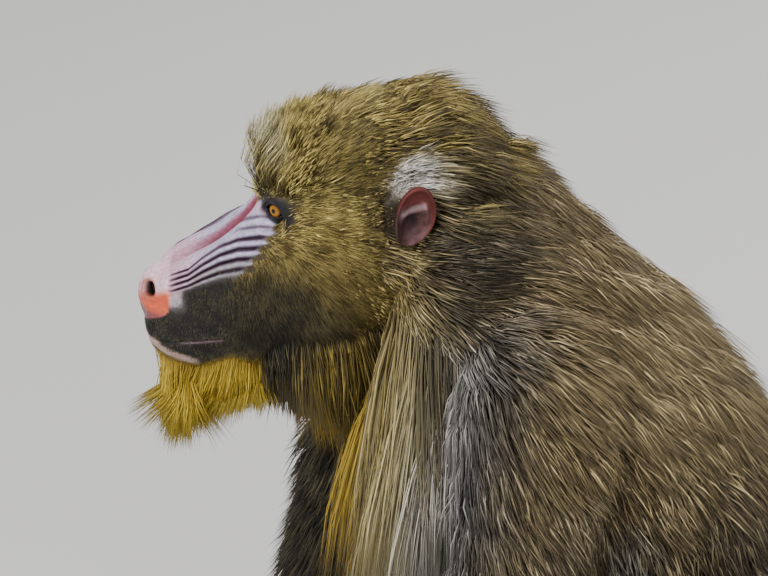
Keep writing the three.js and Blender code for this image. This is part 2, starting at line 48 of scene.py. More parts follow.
TRUNK = [
    (0, 12, -6, 66, 50, 52), (0, 12, 50, 108, 76, 82), (0, 6, 115, 120, 90, 98), (0, -8, 185, 114, 96, 104),
    (0, -38, 260, 114, 102, 106), (0, -90, 335, 122, 110, 104), (0, -148, 410, 120, 104, 104),
    (0, -188, 468, 100, 94, 88), (0, -218, 504, 82, 84, 74), (0, -252, 528, 66, 60, 56),
]
HEAD = [
    (0, -176, 524, 42, 32, 38), (0, -200, 534, 60, 56, 72), (0, -232, 538, 69, 70, 106),
    (0, -270, 530, 73, 77, 116),
    (0, -304, 518, 68, 77, 114), (0, -330, 503, 57, 68, 105), (0, -349, 482, 44, 46, 90),
    (0, -374, 463, 36, 36, 74), (0, -400, 451, 33, 32, 62), (0, -417, 443, 30, 29, 50),
    (0, -427, 438, 24, 26, 34),
]
TAIL = [(0, 70, 96, 20, 20), (0, 98, 118, 18, 18), (0, 116, 150, 14, 14), (0, 120, 182, 9, 9)]
SHOULDER = {"inner": (66, -165, 462), "top": (94, -150, 436), "ball": (110, -141, 396)}
ARMS = {
    "left": {"elbow": (144, -150, 212), "wrist": (105, -242, 30), "front": 58},
    "right": {"elbow": (-124, -266, 264), "wrist": (-112, -333, 30), "front": 42},
}
HIP = {"inner": (40, 26, 86), "ball": (84, 2, 108)}
KNEE = (236, -60, 234)
ANKLE = (208, -112, 44)
HAND_DIGITS = [(-0.36, 52, 9), (-0.12, 62, 3), (0.12, 60, -3), (0.36, 48, -9)]
FOOT_DIGITS = [(-0.36, 46, 8), (-0.12, 52, 3), (0.12, 50, -3), (0.36, 42, -9)]
SIDES = {"left": 1, "right": -1}


def unit(vectors):
    length = np.linalg.norm(vectors, axis=-1, keepdims=True)
    return vectors / np.maximum(length, 1e-9)


def ease(value, low, high):
    """Goes smoothly from 0 at the low value to 1 at the high one."""
    share = np.clip((value - low) / (high - low), 0, 1)
    return share * share * (3 - 2 * share)


def fade(value, low, high):
    return 1 - ease(value, low, high)


def bell(value, width):
    return np.exp(-((value / width) ** 2))


def through(stations, share):
    """The smooth line through the stations, at shares of its length from 0 to 1."""
    spans = len(stations) - 1
    at = np.clip(share, 0, 1) * spans
    first = np.minimum(at.astype(int), spans - 1)
    w = (at - first)[:, None]
    ends = np.vstack([2 * stations[0] - stations[1], stations, 2 * stations[-1] - stations[-2]])
    a, b, c, d = (ends[first + k] for k in range(4))
    bend, lean = (c - a) / 2, (d - b) / 2
    return (2 * b - 2 * c + bend + lean) * w**3 + (3 * c - 3 * b - 2 * bend - lean) * w**2 + bend * w + b


class Form:
    """A rounded part of the body along a line. Angle 0 is its left side, 90 degrees its back or top."""

    def __init__(self, stations, across=(1, 0, 0), upright=False, power=1.0):
        rows = [(*row, row[4]) if len(row) == 5 else row for row in stations]
        table = np.array(rows, float)
        self.line, self.sizes = table[:, :3], table[:, 3:]
        self.across, self.upright, self.power = np.array(across, float), upright, power

    def frame(self, share):
        centre = through(self.line, share)
        step = 1e-3
        ahead, astern = np.minimum(share + step, 1), np.maximum(share - step, 0)
        along = through(self.line, ahead) - through(self.line, astern)
        if self.upright:
            along = along * (0, 1, 0)
        along = unit(along)
        side = unit(self.across - along * (along @ self.across)[:, None])
        return centre, along, side, np.cross(along, side)

    def surface(self, share, angle, grow):
        centre, along, side, back = self.frame(share)
        wide, behind, before = through(self.sizes, share).T
        c, s = np.cos(angle), np.sin(angle)
        deep = np.where(s > 0, behind, before)
        across = np.sign(c) * np.abs(c) ** self.power * (wide + grow)
        upward = np.sign(s) * np.abs(s) ** self.power * (deep + grow)
        return centre + side * across[:, None] + back * upward[:, None]

    def nearest(self, points, count=160):
        """For each point: its share of the length, how far outside it is, the way along, and its angle."""
        shares = np.linspace(0, 1, count)
        centre, along, side, back = self.frame(shares)
        sizes = through(self.sizes, shares)
        best = np.full(len(points), 1e9)
        found = np.zeros(len(points), int)
        for k in range(count):
            away = points - centre[k]
            abreast = np.abs(away @ along[k])
            far = abreast + 0.15 * np.linalg.norm(away, axis=1)
            nearer = far < best
            best[nearer], found[nearer] = far[nearer], k
        away = points - centre[found]
        x = (away * side[found]).sum(1)
        y = (away * back[found]).sum(1)
        wide = sizes[found, 0]
        deep = np.where(y > 0, sizes[found, 1], sizes[found, 2])
        radius = np.hypot(x, y)
        edge = radius / np.maximum(np.hypot(x / wide, y / deep), 1e-6)
        beyond = np.maximum(np.abs((away * along[found]).sum(1)) - 3, 0)
        return shares[found], radius - edge + beyond, along[found], np.degrees(np.arctan2(y / deep, x / wide))


def mixed(a, b, share):
    return tuple(np.array(a) + (np.array(b) - np.array(a)) * share)


def on_side(way, place):
    return (way * place[0], place[1], place[2])


def arm_form(side):
    way, arm = SIDES[side], ARMS[side]
    ball, elbow, wrist, front = on_side(way, SHOULDER["ball"]), arm["elbow"], arm["wrist"], arm["front"]
    return Form([
        (*on_side(way, SHOULDER["inner"]), 26, 30), (*on_side(way, SHOULDER["top"]), 44, front * 0.85, 50),
        (*ball, 51, front, 58), (*mixed(ball, elbow, 0.55), 43, 50), (*elbow, 37, 41),
        (*mixed(elbow, wrist, 0.4), 35, 37), (*mixed(elbow, wrist, 0.78), 25, 26), (*wrist, 24, 18),
    ])


def thigh_form(way):
    knee, hip = on_side(way, KNEE), on_side(way, HIP["ball"])
    return Form([
        (*on_side(way, HIP["inner"]), 50, 46), (*hip, 86, 80), (*mixed(hip, knee, 0.38), 80, 76),
        (*mixed(hip, knee, 0.72), 60, 62), (*knee, 47, 50), (*mixed(hip, knee, 1.13), 30, 32),
    ], across=(0, 1, 0))


def shank_form(way):
    knee, ankle = on_side(way, KNEE), on_side(way, ANKLE)
    return Form([
        (*mixed(knee, ankle, -0.06), 36, 36), (*mixed(knee, ankle, 0.18), 43, 44),
        (*mixed(knee, ankle, 0.4), 40, 42), (*mixed(knee, ankle, 0.75), 28, 30), (*ankle, 25, 27),
    ], across=(0, 1, 0))


def paw_forms(heel, front, wide, high, digits, thumb):
    """A palm or sole and five digits, each with its line, and where each nail sits."""
    heel, front = np.array(heel, float), np.array(front, float)
    ahead = front - heel
    length = np.linalg.norm(ahead)
    ahead /= length
    across = np.array([-ahead[1], ahead[0]])

    def spot(along, aside, z):
        return (*(heel + ahead * along + across * aside), z)

    sole = Form([
        (*spot(0, 0, high * 0.62), wide * 0.3, high * 0.62),
        (*spot(length * 0.3, 0, high * 0.55), wide * 0.4, high * 0.62),
        (*spot(length * 0.72, 0, high * 0.42), wide * 0.5, high * 0.5),
        (*spot(length, 0, high * 0.32), wide * 0.46, high * 0.4),
    ], across=(*across, 0))
    forms = [sole]
    nails = []
    rows = [(length * 0.9, wide * share, fan, long, high * 0.33) for share, long, fan in digits]
    for along, aside, fan, long, thick in [*rows, thumb]:
        turn = math.radians(fan)
        way = np.array([
            ahead[0] * math.cos(turn) - ahead[1] * math.sin(turn),
            ahead[0] * math.sin(turn) + ahead[1] * math.cos(turn),
        ])
        root = heel + ahead * along + across * aside

        def step(share, z):
            return (*(root + way * long * share), z)

        side = (-way[1], way[0], 0)
        forms.append(Form([
            (*step(-0.25, thick * 0.9), thick, thick),
            (*step(0.22, thick * 1.3), thick * 0.98, thick * 0.95),
            (*step(0.42, thick * 1.34), thick * 1.04, thick * 0.98),
            (*step(0.66, thick), thick * 0.86, thick * 0.82),
            (*step(1, thick * 0.68), thick * 0.66, thick * 0.62),
        ], across=side))
        nails.append((step(1, thick * 0.68), way, thick))
    return forms, nails


def hand_forms(side):
    way, (x, y, _) = SIDES[side], ARMS[side]["wrist"]
    thumb = (34, way * 26, -way * 38, 40, 8.5)
    return paw_forms((x, y + 12), (x - way * 6, y - 74), 66, 27, HAND_DIGITS, thumb)


def foot_forms(way):
    thumb = (62, way * 30, -way * 34, 54, 11)
    return paw_forms((way * 204, -84), (way * 222, -208), 68, 33, FOOT_DIGITS, thumb)


def lip_form(above):
    stations = []
    for k in range(9):
        share = abs(k / 4 - 1)
        x = math.copysign(34 * share**0.55, k - 4) if k != 4 else 0
        full = 3.9 - 2.9 * share**3
        y, z = -369 - 55 * (1 - share**2.4), 418 + 7 * share**2 + above * 0.8 * full
        stations.append((x, y, z, full, full))
    return Form(stations, across=(0, 0, 1))


def ball_form(centre, halves):
    """A ball as a short form that runs forwards."""
    x, y, z = centre
    a, b, c = halves
    rows = []
    for turn in range(-75, 76, 25):
        wide = math.cos(math.radians(turn))
        rows.append((x, y - b * math.sin(math.radians(turn)), z, a * wide, c * wide))
    return Form(rows)


trunk, head, tail = Form(TRUNK), Form(HEAD, upright=True, power=0.9), Form(TAIL)
arms = {side: arm_form(side) for side in SIDES}
thighs = {side: thigh_form(way) for side, way in SIDES.items()}
shanks = {side: shank_form(way) for side, way in SIDES.items()}
brow = Form([
    (-52, -308, 532, 7, 9), (-32, -331, 547, 9.5, 13), (0, -340, 541, 10, 12),
    (32, -331, 547, 9.5, 13), (52, -308, 532, 7, 9),
], across=(0, 0, 1))


def numbers(data, key, width=3, kind=float):
    """What a mesh keeps for each of its points, edges, faces or corners, a row for each."""
    flat = np.empty(len(data) * width, kind)
    data.foreach_get(key, flat)
    return flat.reshape(-1, width)


def read_points(piece):
    return numbers(piece.data.vertices, "co")


def write_points(piece, points):
    piece.data.vertices.foreach_set("co", points.ravel())
    piece.data.update()


def drawn_out(form, inset, around=40, rings=40):
    """A sphere whose rings are drawn out along a form's line, with its two ends left round."""
    bpy.ops.mesh.primitive_uv_sphere_add(segments=around, ring_count=rings, radius=1)
    made = bpy.context.object
    ball = read_points(made)
    turn = np.arccos(np.clip(ball[:, 2], -1, 1)) / math.pi
    angle = np.arctan2(ball[:, 1], ball[:, 0])
    dome = 0.16
    share = np.clip((turn - dome) / (1 - 2 * dome), 0, 1)
    near, far = np.clip(turn / dome, 0, 1), np.clip((1 - turn) / dome, 0, 1)
    closing = np.sin(np.minimum(near, far) * math.pi / 2)
    if callable(inset):
        inset = inset(share, np.degrees(angle))
    full = form.surface(share, angle, -inset + np.zeros(len(share)))
    centre, along, _, _ = form.frame(share)
    wide = through(form.sizes, share)[:, 0]
    out = np.where(near < 1, -1, 1) * np.sqrt(np.clip(1 - closing**2, 0, 1)) * 0.35 * wide
    write_points(made, (centre + (full - centre) * closing[:, None] + along * out[:, None]) * MM)
    return made


def over(shares, depths):
    return lambda share, angle: np.interp(share, shares, depths)


def head_inset(share, angle):
    """The coat's depth on the skull, and on each side of the nose the long swelling."""
    turned = np.where(np.abs(angle) > 90, 180 - np.abs(angle), np.abs(angle)) * np.sign(angle)
    swelling = 9.5 * bell(turned - 48, 26)
    swelling *= ease(share, 0.6, 0.7) * fade(share, 0.92, 1)
    return np.interp(share, [0, 0.5, 0.6, 1], [4, 3, 0, 0]) - swelling


made = [
    drawn_out(trunk, over([0, 0.2, 0.35, 1], [1, 4, 8, 8]), 64, 64),
    drawn_out(head, head_inset, 64, 72),
    drawn_out(brow, 1.5), drawn_out(lip_form(1), 0, 16, 48), drawn_out(lip_form(-1), 0, 16, 48),
    drawn_out(tail, 2), drawn_out(ball_form((0, -421, 449), (17, 19, 25)), 0, 32, 32),
    drawn_out(ball_form((0, -426, 439), (10, 13, 11)), 0, 32, 32),
]
made += [drawn_out(ball_form((way * 10, -420, 450), (14, 18, 17)), 0, 32, 32) for way in SIDES.values()]
nail_places = []
for side, way in SIDES.items():
    made += [drawn_out(arms[side], over([0, 0.8, 1], [6, 4, 0.5])), drawn_out(thighs[side], 6)]
    made += [drawn_out(shanks[side], over([0, 0.7, 1], [5, 3, 0.5]))]
    for forms, nails in (hand_forms(side), foot_forms(way)):
        made += [drawn_out(form, 0, 24, 28) for form in forms]
        nail_places += nails


def joined(parts, name):
    """Joins these pieces into the first of them."""
    bpy.ops.object.select_all(action="DESELECT")
    for part in parts:
        part.select_set(True)
    bpy.context.view_layer.objects.active = parts[0]
    bpy.ops.object.join()
    parts[0].name = name
    return parts[0]


skin = joined(made, "skin")


def applied(piece, kind, **settings):
    """Puts a modifier on the piece, sets it and applies it."""
    bpy.context.view_layer.objects.active = piece
    modifier = piece.modifiers.new(kind.lower(), kind)
    for name, value in settings.items():
        setattr(modifier, name, value)
    bpy.ops.object.modifier_apply(modifier=modifier.name)


applied(skin, "REMESH", mode="VOXEL", voxel_size=FUSE)
applied(skin, "SMOOTH", factor=0.5, iterations=5)


def select_faces(piece, chosen):
    """Goes into edit mode with just these faces selected."""
    piece.data.vertices.foreach_set("select", np.zeros(len(piece.data.vertices), bool))
    piece.data.edges.foreach_set("select", np.zeros(len(piece.data.edges), bool))
    piece.data.polygons.foreach_set("select", chosen)
    bpy.ops.object.mode_set(mode="EDIT")
    bpy.ops.mesh.select_mode(type="FACE")


def finer(piece, chosen, smooth=2):
    """Splits these faces and smooths them a little, so that they can take finer work."""
    select_faces(piece, chosen)
    bpy.ops.mesh.subdivide(number_cuts=1)
    bpy.ops.mesh.quads_convert_to_tris()
    if smooth:
        bpy.ops.mesh.vertices_smooth(factor=0.5, repeat=smooth)
    bpy.ops.object.mode_set(mode="OBJECT")


# The coated parts of the hide need few faces under their hair. The bare face, hands, feet and rump keep
# more, and all that lies behind the face is thinned once again.
BARE_RUMP = {"middle": (0, 86, 88), "halves": (92, 60, 92)}
at = read_points(skin) / MM
from_rump = np.linalg.norm((at - BARE_RUMP["middle"]) / BARE_RUMP["halves"], axis=1)
on_face, on_paws = (at[:, 1] < -330) & (at[:, 2] > 380), (at[:, 2] < 52) & (at[:, 1] < -90)
group = skin.vertex_groups.new(name="coated")
group.add(np.flatnonzero(~(on_face | on_paws | (from_rump < 1))).tolist(), 1.0, "REPLACE")
applied(skin, "DECIMATE", ratio=0.25, vertex_group="coated")
at = read_points(skin) / MM
group = skin.vertex_groups.new(name="behind_face")
group.add(np.flatnonzero((at[:, 1] > -326) | (at[:, 2] < 380)).tolist(), 1.0, "REPLACE")
applied(skin, "DECIMATE", ratio=0.55, vertex_group="behind_face")

# The face: bare skin, with lids over the eyes, a valley along the nose, ribs and grooves beside it, nostrils
# and a mouth. It is split finer first, most at the ribs, eyes and nose, and then pressed in or raised there.
EYE = {"x": 27, "y": -327, "z": 532.5, "r": 11.5, "lid": 2.0, "turn": 50, "wide": 8.8, "high": 5.0}


def eye_axes(way):
    """The middle of an eye, and the ways it looks, across and up."""
    turn = math.radians(EYE["turn"])
    gaze = np.array([way * math.sin(turn), -math.cos(turn), 0.05])
    gaze /= np.linalg.norm(gaze)
    across = np.cross((0, 0, 1), gaze)
    across /= np.linalg.norm(across)
    return np.array([way * EYE["x"], EYE["y"], EYE["z"]], float), gaze, across, np.cross(gaze, across)


def near_eye(points, reach):
    return np.minimum(*[np.linalg.norm(points - eye_axes(way)[0], axis=1) for way in SIDES.values()]) < reach


def up_the_side(points):
    """Height measured along the sides of the muzzle, which lean inwards by 25 degrees."""
    return 0.9063 * points[:, 2] - 0.4226 * np.abs(points[:, 0])


mid = numbers(skin.data.polygons, "center") / MM
y, z, up = mid[:, 1], mid[:, 2], up_the_side(mid)
muzzle, nose = (y < -334) & (up > 398) & (up < 484), (y < -416) & (z > 404)
mouth = (y < -366) & (z > 408) & (z < 434)
finer(skin, muzzle | mouth | nose | near_eye(mid, 26))
mid = numbers(skin.data.polygons, "center") / MM
y, z, up = mid[:, 1], mid[:, 2], up_the_side(mid)
ribbed = (y < -338) & (y > -416) & (up > 404) & (up < 456) & (z > 450)
nostrils = (y < -426) & (z > 428) & (z < 468)
finer(skin, ribbed | nostrils | near_eye(mid, 18), 1)


def carve_eyes(points):
    """A hollow below the brow, the lids over the ball of the eye, and the slit that the eye looks out of."""
    for way in SIDES.values():
        centre, gaze, across, up = eye_axes(way)
        hollow = np.array([way * 44, -345, 530])
        local = points - hollow
        halves = np.array([19, 20, 13])
        q, g = local / halves, -gaze / halves
        inside = (q * q).sum(1) < 1
        a, b, c = (g * g).sum(), (q * g).sum(1), (q * q).sum(1) - 1
        reach = (-b + np.sqrt(np.maximum(b * b - a * c, 0))) / a
        points[inside] -= gaze * reach[inside, None]
        away = points - centre
        x, z, h = away @ across, away @ up, away @ gaze
        near = (x * x + z * z < 24**2) & (h > -6)
        radius = EYE["r"] + EYE["lid"]
        cap = np.sqrt(np.maximum(radius**2 - x * x - z * z, 0))
        soft = 1.2
        raised = soft * np.log(np.exp(np.clip(h, -40, 40) / soft) + np.exp(cap / soft))
        lid = np.where((x * x + z * z < radius**2) & near, np.maximum(raised, h), h)
        half = EYE["high"] * (1 - np.abs(x / EYE["wide"]) ** 2.2)
        open_by = np.where(z > 0, half, half * 0.85) - np.abs(z)
        ball = np.sqrt(np.maximum(EYE["r"] ** 2 - x * x - z * z, 0))
        rim = 0.7 * bell(open_by + 0.9, 0.8)
        fold = -0.9 * bell(open_by + 3.4, 0.7) * (np.abs(x) < 11)
        lid = np.where(near, lid + rim + fold, lid)
        lid = np.where(near & (open_by > 0), np.minimum(lid, ball - 2.6), lid)
        points += gaze * (lid - h)[:, None]


RIB_STATIONS = [-418, -414, -400, -389, -376, -362, -345, -335]
RIB_UPPER = [418, 419.5, 424, 433, 441.5, 446.5, 448, 447]
RIB_LOWER = [406, 407, 411.5, 416.5, 421.3, 424, 424, 423]


def rib_place(points):
    """Across the ribs, 0 at the highest long groove, 1 at the lowest, and the strength of the ribs."""
    x, y, z = points.T
    upper, lower = np.interp(y, RIB_STATIONS, RIB_UPPER), np.interp(y, RIB_STATIONS, RIB_LOWER)
    across = (upper - up_the_side(points)) / (upper - lower)
    back_end = 332 + 17 * np.clip(across, -0.3, 1.3) + 5 * np.abs(np.cos(math.pi * 3 * across))
    strength = ease(-y, back_end, back_end + 7) * fade(-y, 407, 419) * (z > 440)
    strength *= ease(np.abs(x), 6, 12)
    return across, strength


def groove_depth(across, y):
    """How deep the grooves between the ribs are at a place, from 0 to 1."""
    long_ones = bell(across * 3 - np.round(across * 3), 0.2) * (across > -0.17) * (across < 1.17)
    short = sum(bell(across - at, 0.06) for at in (-0.36, -0.68)) * ease(y, -372, -356)
    return np.maximum(long_ones, 0.7 * short)


def carve_muzzle(points, normals):
    x, y, z = points.T
    across, strength = rib_place(points)
    groove = groove_depth(across, y)
    on_ribs = (across > -1.2) & (across < 1.5)
    rounded = np.abs(np.sin(math.pi * 3 * across)) ** 0.8 * (across > 0) * (across < 1)
    knob = bell(-y - 351 - 17 * np.clip(across, -0.3, 1), 9) * (across < 1.05) * (across > -0.8)
    height = (2.3 * rounded + 1.6 * knob - 3.2 * groove) * strength * on_ribs
    valley = bell(x, 5.5) * ease(-y, 342, 352)
    valley *= fade(-y, 398, 412) * (z > 465)
    points += normals * (height - 8.0 * valley)[:, None]


NOSTRIL = {"x": 14, "y": -428.5, "z": 458.5, "wide": 7.2, "high": 5.4, "deep": 10}


def nostril_ring(points, way):
    """How far out from a nostril's middle each point is, 1 at its edge, and the way that it opens."""
    opens = unit(np.array([way * 0.62, -0.75, 0.2]))
    across = unit(np.cross((0, 0, 1), opens))
    up = np.cross(opens, across)
    away = points - (way * NOSTRIL["x"], NOSTRIL["y"], NOSTRIL["z"])
    a, b = away @ across, away @ up
    tilted = a + 0.3 * b * way
    ring = np.sqrt((tilted / NOSTRIL["wide"]) ** 2 + (b / NOSTRIL["high"]) ** 2)
    return np.where(np.abs(away @ opens) < 13, ring, 9), opens


def carve_nose(points, normals):
    for way in SIDES.values():
        ring, opens = nostril_ring(points, way)
        rim = 1.3 * bell(ring - 1.3, 0.25)
        points += normals * rim[:, None]
        points -= opens * (NOSTRIL["deep"] * fade(ring, 0.5, 1.05))[:, None]
    x, y, z = points.T
    cleft = bell(x, 1.3) * (y < -424) * ease(z, 424, 432) * fade(z, 446, 456)
    points += normals * (-1.3 * cleft)[:, None]


def mouth_height(points):
    return np.interp(points[:, 1], [-424, -369], [418, 425])


def carve_mouth(points, normals):
    _, y, z = points.T
    line = bell(z - mouth_height(points), 1.1) * ease(-y, 367, 374)
    chin = bell(z - 402, 3) * ease(-y, 395, 410)
    points += normals * (-2.6 * line - 0.8 * chin)[:, None]


at, out = read_points(skin) / MM, numbers(skin.data.vertex_normals, "vector")
carve_muzzle(at, out)
carve_nose(at, out)
carve_mouth(at, out)
carve_eyes(at)
write_points(skin, at * MM)
mid = numbers(skin.data.polygons, "center") / MM
select_faces(skin, (mid[:, 1] < -325) & (mid[:, 2] > 400))
bpy.ops.mesh.vertices_smooth(factor=0.4, repeat=1)
bpy.ops.object.mode_set(mode="OBJECT")
at = read_points(skin)
at[:, 2] = np.maximum(at[:, 2], GROUND)
write_points(skin, at)
select_faces(skin, np.ones(len(skin.data.polygons), bool))
bpy.ops.mesh.quads_convert_to_tris()
bpy.ops.object.mode_set(mode="OBJECT")


# The ears: each a thin cup of skin with a rolled rim, a ridge inside it and a deep hollow. A sphere is
# pressed into a shell, one half for the cup and the other for its back, and joined to the hide.
EAR = {"x": 71, "y": -229, "z": 544, "wide": 17, "high": 25, "thick": 2.2, "turn": 15}


def ear_shape(way):
    bpy.ops.mesh.primitive_uv_sphere_add(segments=56, ring_count=48, radius=1)
    made = bpy.context.object
    ball = read_points(made)
    angle = np.arctan2(ball[:, 1], ball[:, 0])
    front = ball[:, 2] > 0
    r = np.arccos(np.clip(np.abs(ball[:, 2]), 0, 1)) / (math.pi / 2)
    egg = 1 + 0.10 * np.sin(angle) - 0.05 * np.cos(2 * angle) + 0.04 * np.cos(3 * angle + 0.6)
    across, up = r * egg * np.cos(angle) * EAR["wide"], r * egg * np.sin(angle) * EAR["high"]
    rim = bell(r - 0.93, 0.07) * (0.12 + 0.88 * ease(np.sin(angle - 0.6), -0.7, 0.3))
    cup = 5.5 * r**2 - 6 * np.exp(-((across + 2) ** 2 / 50 + (up + 4) ** 2 / 75))
    ridge = 2.3 * bell(r - 0.62 + 0.1 * np.sin(angle), 0.1) * ease(np.cos(angle - 0.9), -0.5, 0.4)
    ridge += 1.6 * bell(up - 4 - 0.5 * across, 2.2) * (np.abs(across) < 11) * (r < 0.7)
    flap = 3.2 * np.exp(-((across + 11) ** 2 / 20 + (up + 7) ** 2 / 40))
    outward = cup + 3.2 * rim + ridge + flap
    inward = 5.5 * r**2 - EAR["thick"] - 4.5 * (1 - r) ** 1.5 + 1.5 * rim
    deep = np.where(front, outward, inward)
    turn = math.radians(EAR["turn"])
    y = across * math.cos(turn) + deep * math.sin(turn) * 0.9
    x = deep * math.cos(turn) - across * math.sin(turn)
    lean = 0.12 * up
    x, y, z = way * (EAR["x"] + 1 + x + 1.3 * lean), EAR["y"] + y + lean, EAR["z"] + up
    write_points(made, np.stack([x, y, z], 1) * MM)
    bpy.ops.object.mode_set(mode="EDIT")
    bpy.ops.mesh.select_all(action="SELECT")
    bpy.ops.mesh.normals_make_consistent(inside=False)
    bpy.ops.mesh.quads_convert_to_tris()
    bpy.ops.object.mode_set(mode="OBJECT")
    return made


ears_from = len(skin.data.vertices)
joined([skin, *[ear_shape(way) for way in SIDES.values()]], "skin")

# The coat's lie, worked out once at every point of the hide. On trunk and limbs the hair runs along the body,
# on the face it streams back from muzzle and eye, and behind the jaw it springs from a whorl on each side.
triangles = numbers(skin.data.loops, "vertex_index", 1, int).reshape(-1, 3)
edges = numbers(skin.data.edges, "vertices", 2, int)
skin_at, skin_out = read_points(skin) / MM, numbers(skin.data.vertex_normals, "vector")


def evened(values, rounds):
    """Values at the hide's points, evened out with those of their neighbours."""
    values = values.copy()
    count = np.bincount(edges.ravel(), minlength=len(values))[:, None] + 1
    for _ in range(rounds):
        total = values.copy()
        for k in range(values.shape[1]):
            total[:, k] += np.bincount(edges[:, 0], values[edges[:, 1], k], len(values))
            total[:, k] += np.bincount(edges[:, 1], values[edges[:, 0], k], len(values))
        values = total / count
    return values


def ripple(points, size, seed, waves=6):
    """A smooth random field, about -1 to 1, with swells of about this size in millimetres."""
    draw = np.random.default_rng(seed)
    total = np.zeros(len(points))
    for _ in range(waves):
        way = draw.normal(size=3)
        way *= draw.uniform(0.7, 1.5) * 2 * math.pi / size / np.linalg.norm(way)
        total += np.sin(points @ way + draw.uniform(0, 2 * math.pi))
    return total / math.sqrt(waves)


X, Y, Z = skin_at.T
ABS = np.abs(X)
places = {"trunk": trunk.nearest(skin_at), "head": head.nearest(skin_at), "tail": tail.nearest(skin_at)}
for side, way in SIDES.items():
    own = X * way > 0
    for name, form in (("arm", arms[side]), ("thigh", thighs[side]), ("shank", shanks[side])):
        share, beyond, along, angle = form.nearest(skin_at)
        places[name + "_" + side] = (share, np.where(own, beyond, 99), along, angle)
flow = np.zeros_like(skin_at)
closest = {}
for name, (share, beyond, along, angle) in places.items():
    weight = np.exp(-((beyond / 9) ** 2))
    way = 1 if name.startswith(("arm", "thigh", "shank", "tail")) else -1
    if name == "tail":
        beyond = beyond + 6
    flow += along * (way * weight)[:, None]
    closest[name] = np.abs(beyond)
names = list(closest)
part = np.argmin(np.stack([closest[name] for name in names]), axis=0)


def of_part(*wanted):
    return np.isin(part, [k for k, name in enumerate(names) if name.startswith(wanted)])


def laid(way, share):
    """The flow so far, turned this way where the share is high."""
    return flow * (1 - share) + way * share


flow[:, 2] -= 0.25 * of_part("trunk")
# On the cheek it turns down, and at the temple it runs back
face = ease(-Y, 215, 250) * of_part("head")
from_eye = np.stack([0.3 * (ABS - 30), Y + 345, Z - 520], 1)
from_eye[:, 0] *= np.sign(X)
radial = unit(from_eye)
back = np.stack([0 * Y, 1 + 0 * Y, 0.12 + 0 * Y], 1)
cheek = ease(-Z, -520, -470)[:, None]
stream = unit(back * (1 - 0.62 * cheek) + radial * 0.55 + np.array([0, 0, -0.55]) * cheek)
flow = laid(stream, face[:, None])
# Round the whorl the mane rises first, and then falls back over the shoulder
WHORL = (100, -216, 462)
apart = np.stack([Y - WHORL[1], Z - WHORL[2]], 1)
reach = np.linalg.norm(apart, axis=1)
spring = np.exp(-reach / 70)[:, None]
fountain = np.concatenate([np.zeros((len(Y), 1)), apart / np.maximum(reach, 1)[:, None]], 1) * spring
fountain += np.array([0, 0.75, -0.62]) * (1 - spring)
side_on = ease(ABS, 45, 75) * ease(Y, -232, -205) * fade(Y, -90, -30) * ease(Z, 300, 380)
side_on = (side_on * of_part("trunk", "arm", "head"))[:, None]
flow = laid(unit(fountain), side_on)
draped = (of_part("arm") * ease(Z, 230, 400) * 0.85)[:, None]
flow = flow * (1 - draped) + unit(np.array([[0, 0.55, -0.83]])) * draped * np.maximum(1 - side_on, 0.3)
front = (ease(-Y, 120, 200) * (Z < 470) * of_part("trunk") * (1 - side_on[:, 0]))[:, None]
flow = laid(np.array([0, -0.25, -1.0]), front)
chin = (ease(-Y, 345, 375) * ease(-Z, -425, -410))[:, None]
flow = unit(flow)
flow = laid(np.array([0, -0.1, -1.0]), chin)
flow -= skin_out * (flow * skin_out).sum(1)[:, None]
flow = evened(unit(flow), 8)
flow -= skin_out * (flow * skin_out).sum(1)[:, None]
flow = unit(flow)


# The markings: how far each point of the hide is into each bare or coloured area, from 0 to 1, so that hide
# and hair agree. Some of them are painted light and shade. They are the same on both sides, but for the
# painted shade on the chest and on the inner side of the right arm.
def blob(centre, halves, soft=0.35):
    """1 inside a ball stretched to these half sizes, on both sides of the body, and 0 outside."""
    away = (np.stack([ABS, Y, Z], 1) - centre) / halves
    return 1 - ease(np.linalg.norm(away, axis=1), 1 - soft, 1 + soft)


def band(value, low, high, soft):
    return ease(value - low, -soft, soft) * fade(value - high, -soft, soft)


on_head, on_trunk = of_part("head").astype(float), of_part("trunk")
on_ear = (np.arange(len(skin_at)) >= ears_from).astype(float)
slope = up_the_side(skin_at)
rib_across, rib_strength = rib_place(skin_at)
muzzle_bare = rib_strength * ease(rib_across, -1.3, -1.1) * fade(rib_across, 0.9, 1.5)
muzzle_top = ease(-Y, 335, 341) * (slope > 420) * (Z > 455)
muzzle_top *= fade(Z + 0.5 * (-Y - 345), 526, 532)
muzzle_bare = np.maximum(muzzle_bare, muzzle_top * (ABS < 34))
beside_nose = ease(-Y, 399, 411) * ease(slope, 390, 400) * ease(Z, 438, 448)
muzzle_bare = np.maximum(muzzle_bare, beside_nose)
nose_under = Z - 0.012 * X * X
nose_bare = ease(-Y - 0.045 * np.clip(452 - Z, 0, 24) ** 2, 413, 417) * ease(nose_under, 429, 434)
eye_dark = blob((39, -330, 535), (23, 20, 13), 0.2)
mouth_line = np.abs(Z - mouth_height(skin_at))
lips_bare = bell(mouth_line, 2.6) * ease(-Y, 371, 376) * fade(-Y, 404, 412)
chin_line = np.interp(Y, [-427, -395], [416, 401.5])
chin_bare = band(Z + 0.007 * np.minimum(ABS, 26) ** 2, chin_line - 5, chin_line + 6, 3)
chin_bare = ease(-Y, 386, 400) * chin_bare
rump_bare = blob((0, 88, 78), (56, 60, 58), 0.22) * ease(Y, 40, 60) * fade(Z, 112, 128)
seat_bare = blob((34, 66, 8), (34, 34, 22), 0.1)
bare_areas = [on_ear, muzzle_bare, nose_bare, eye_dark, lips_bare, chin_bare, rump_bare, seat_bare]
bareness = np.clip(np.max(bare_areas, axis=0), 0, 1)

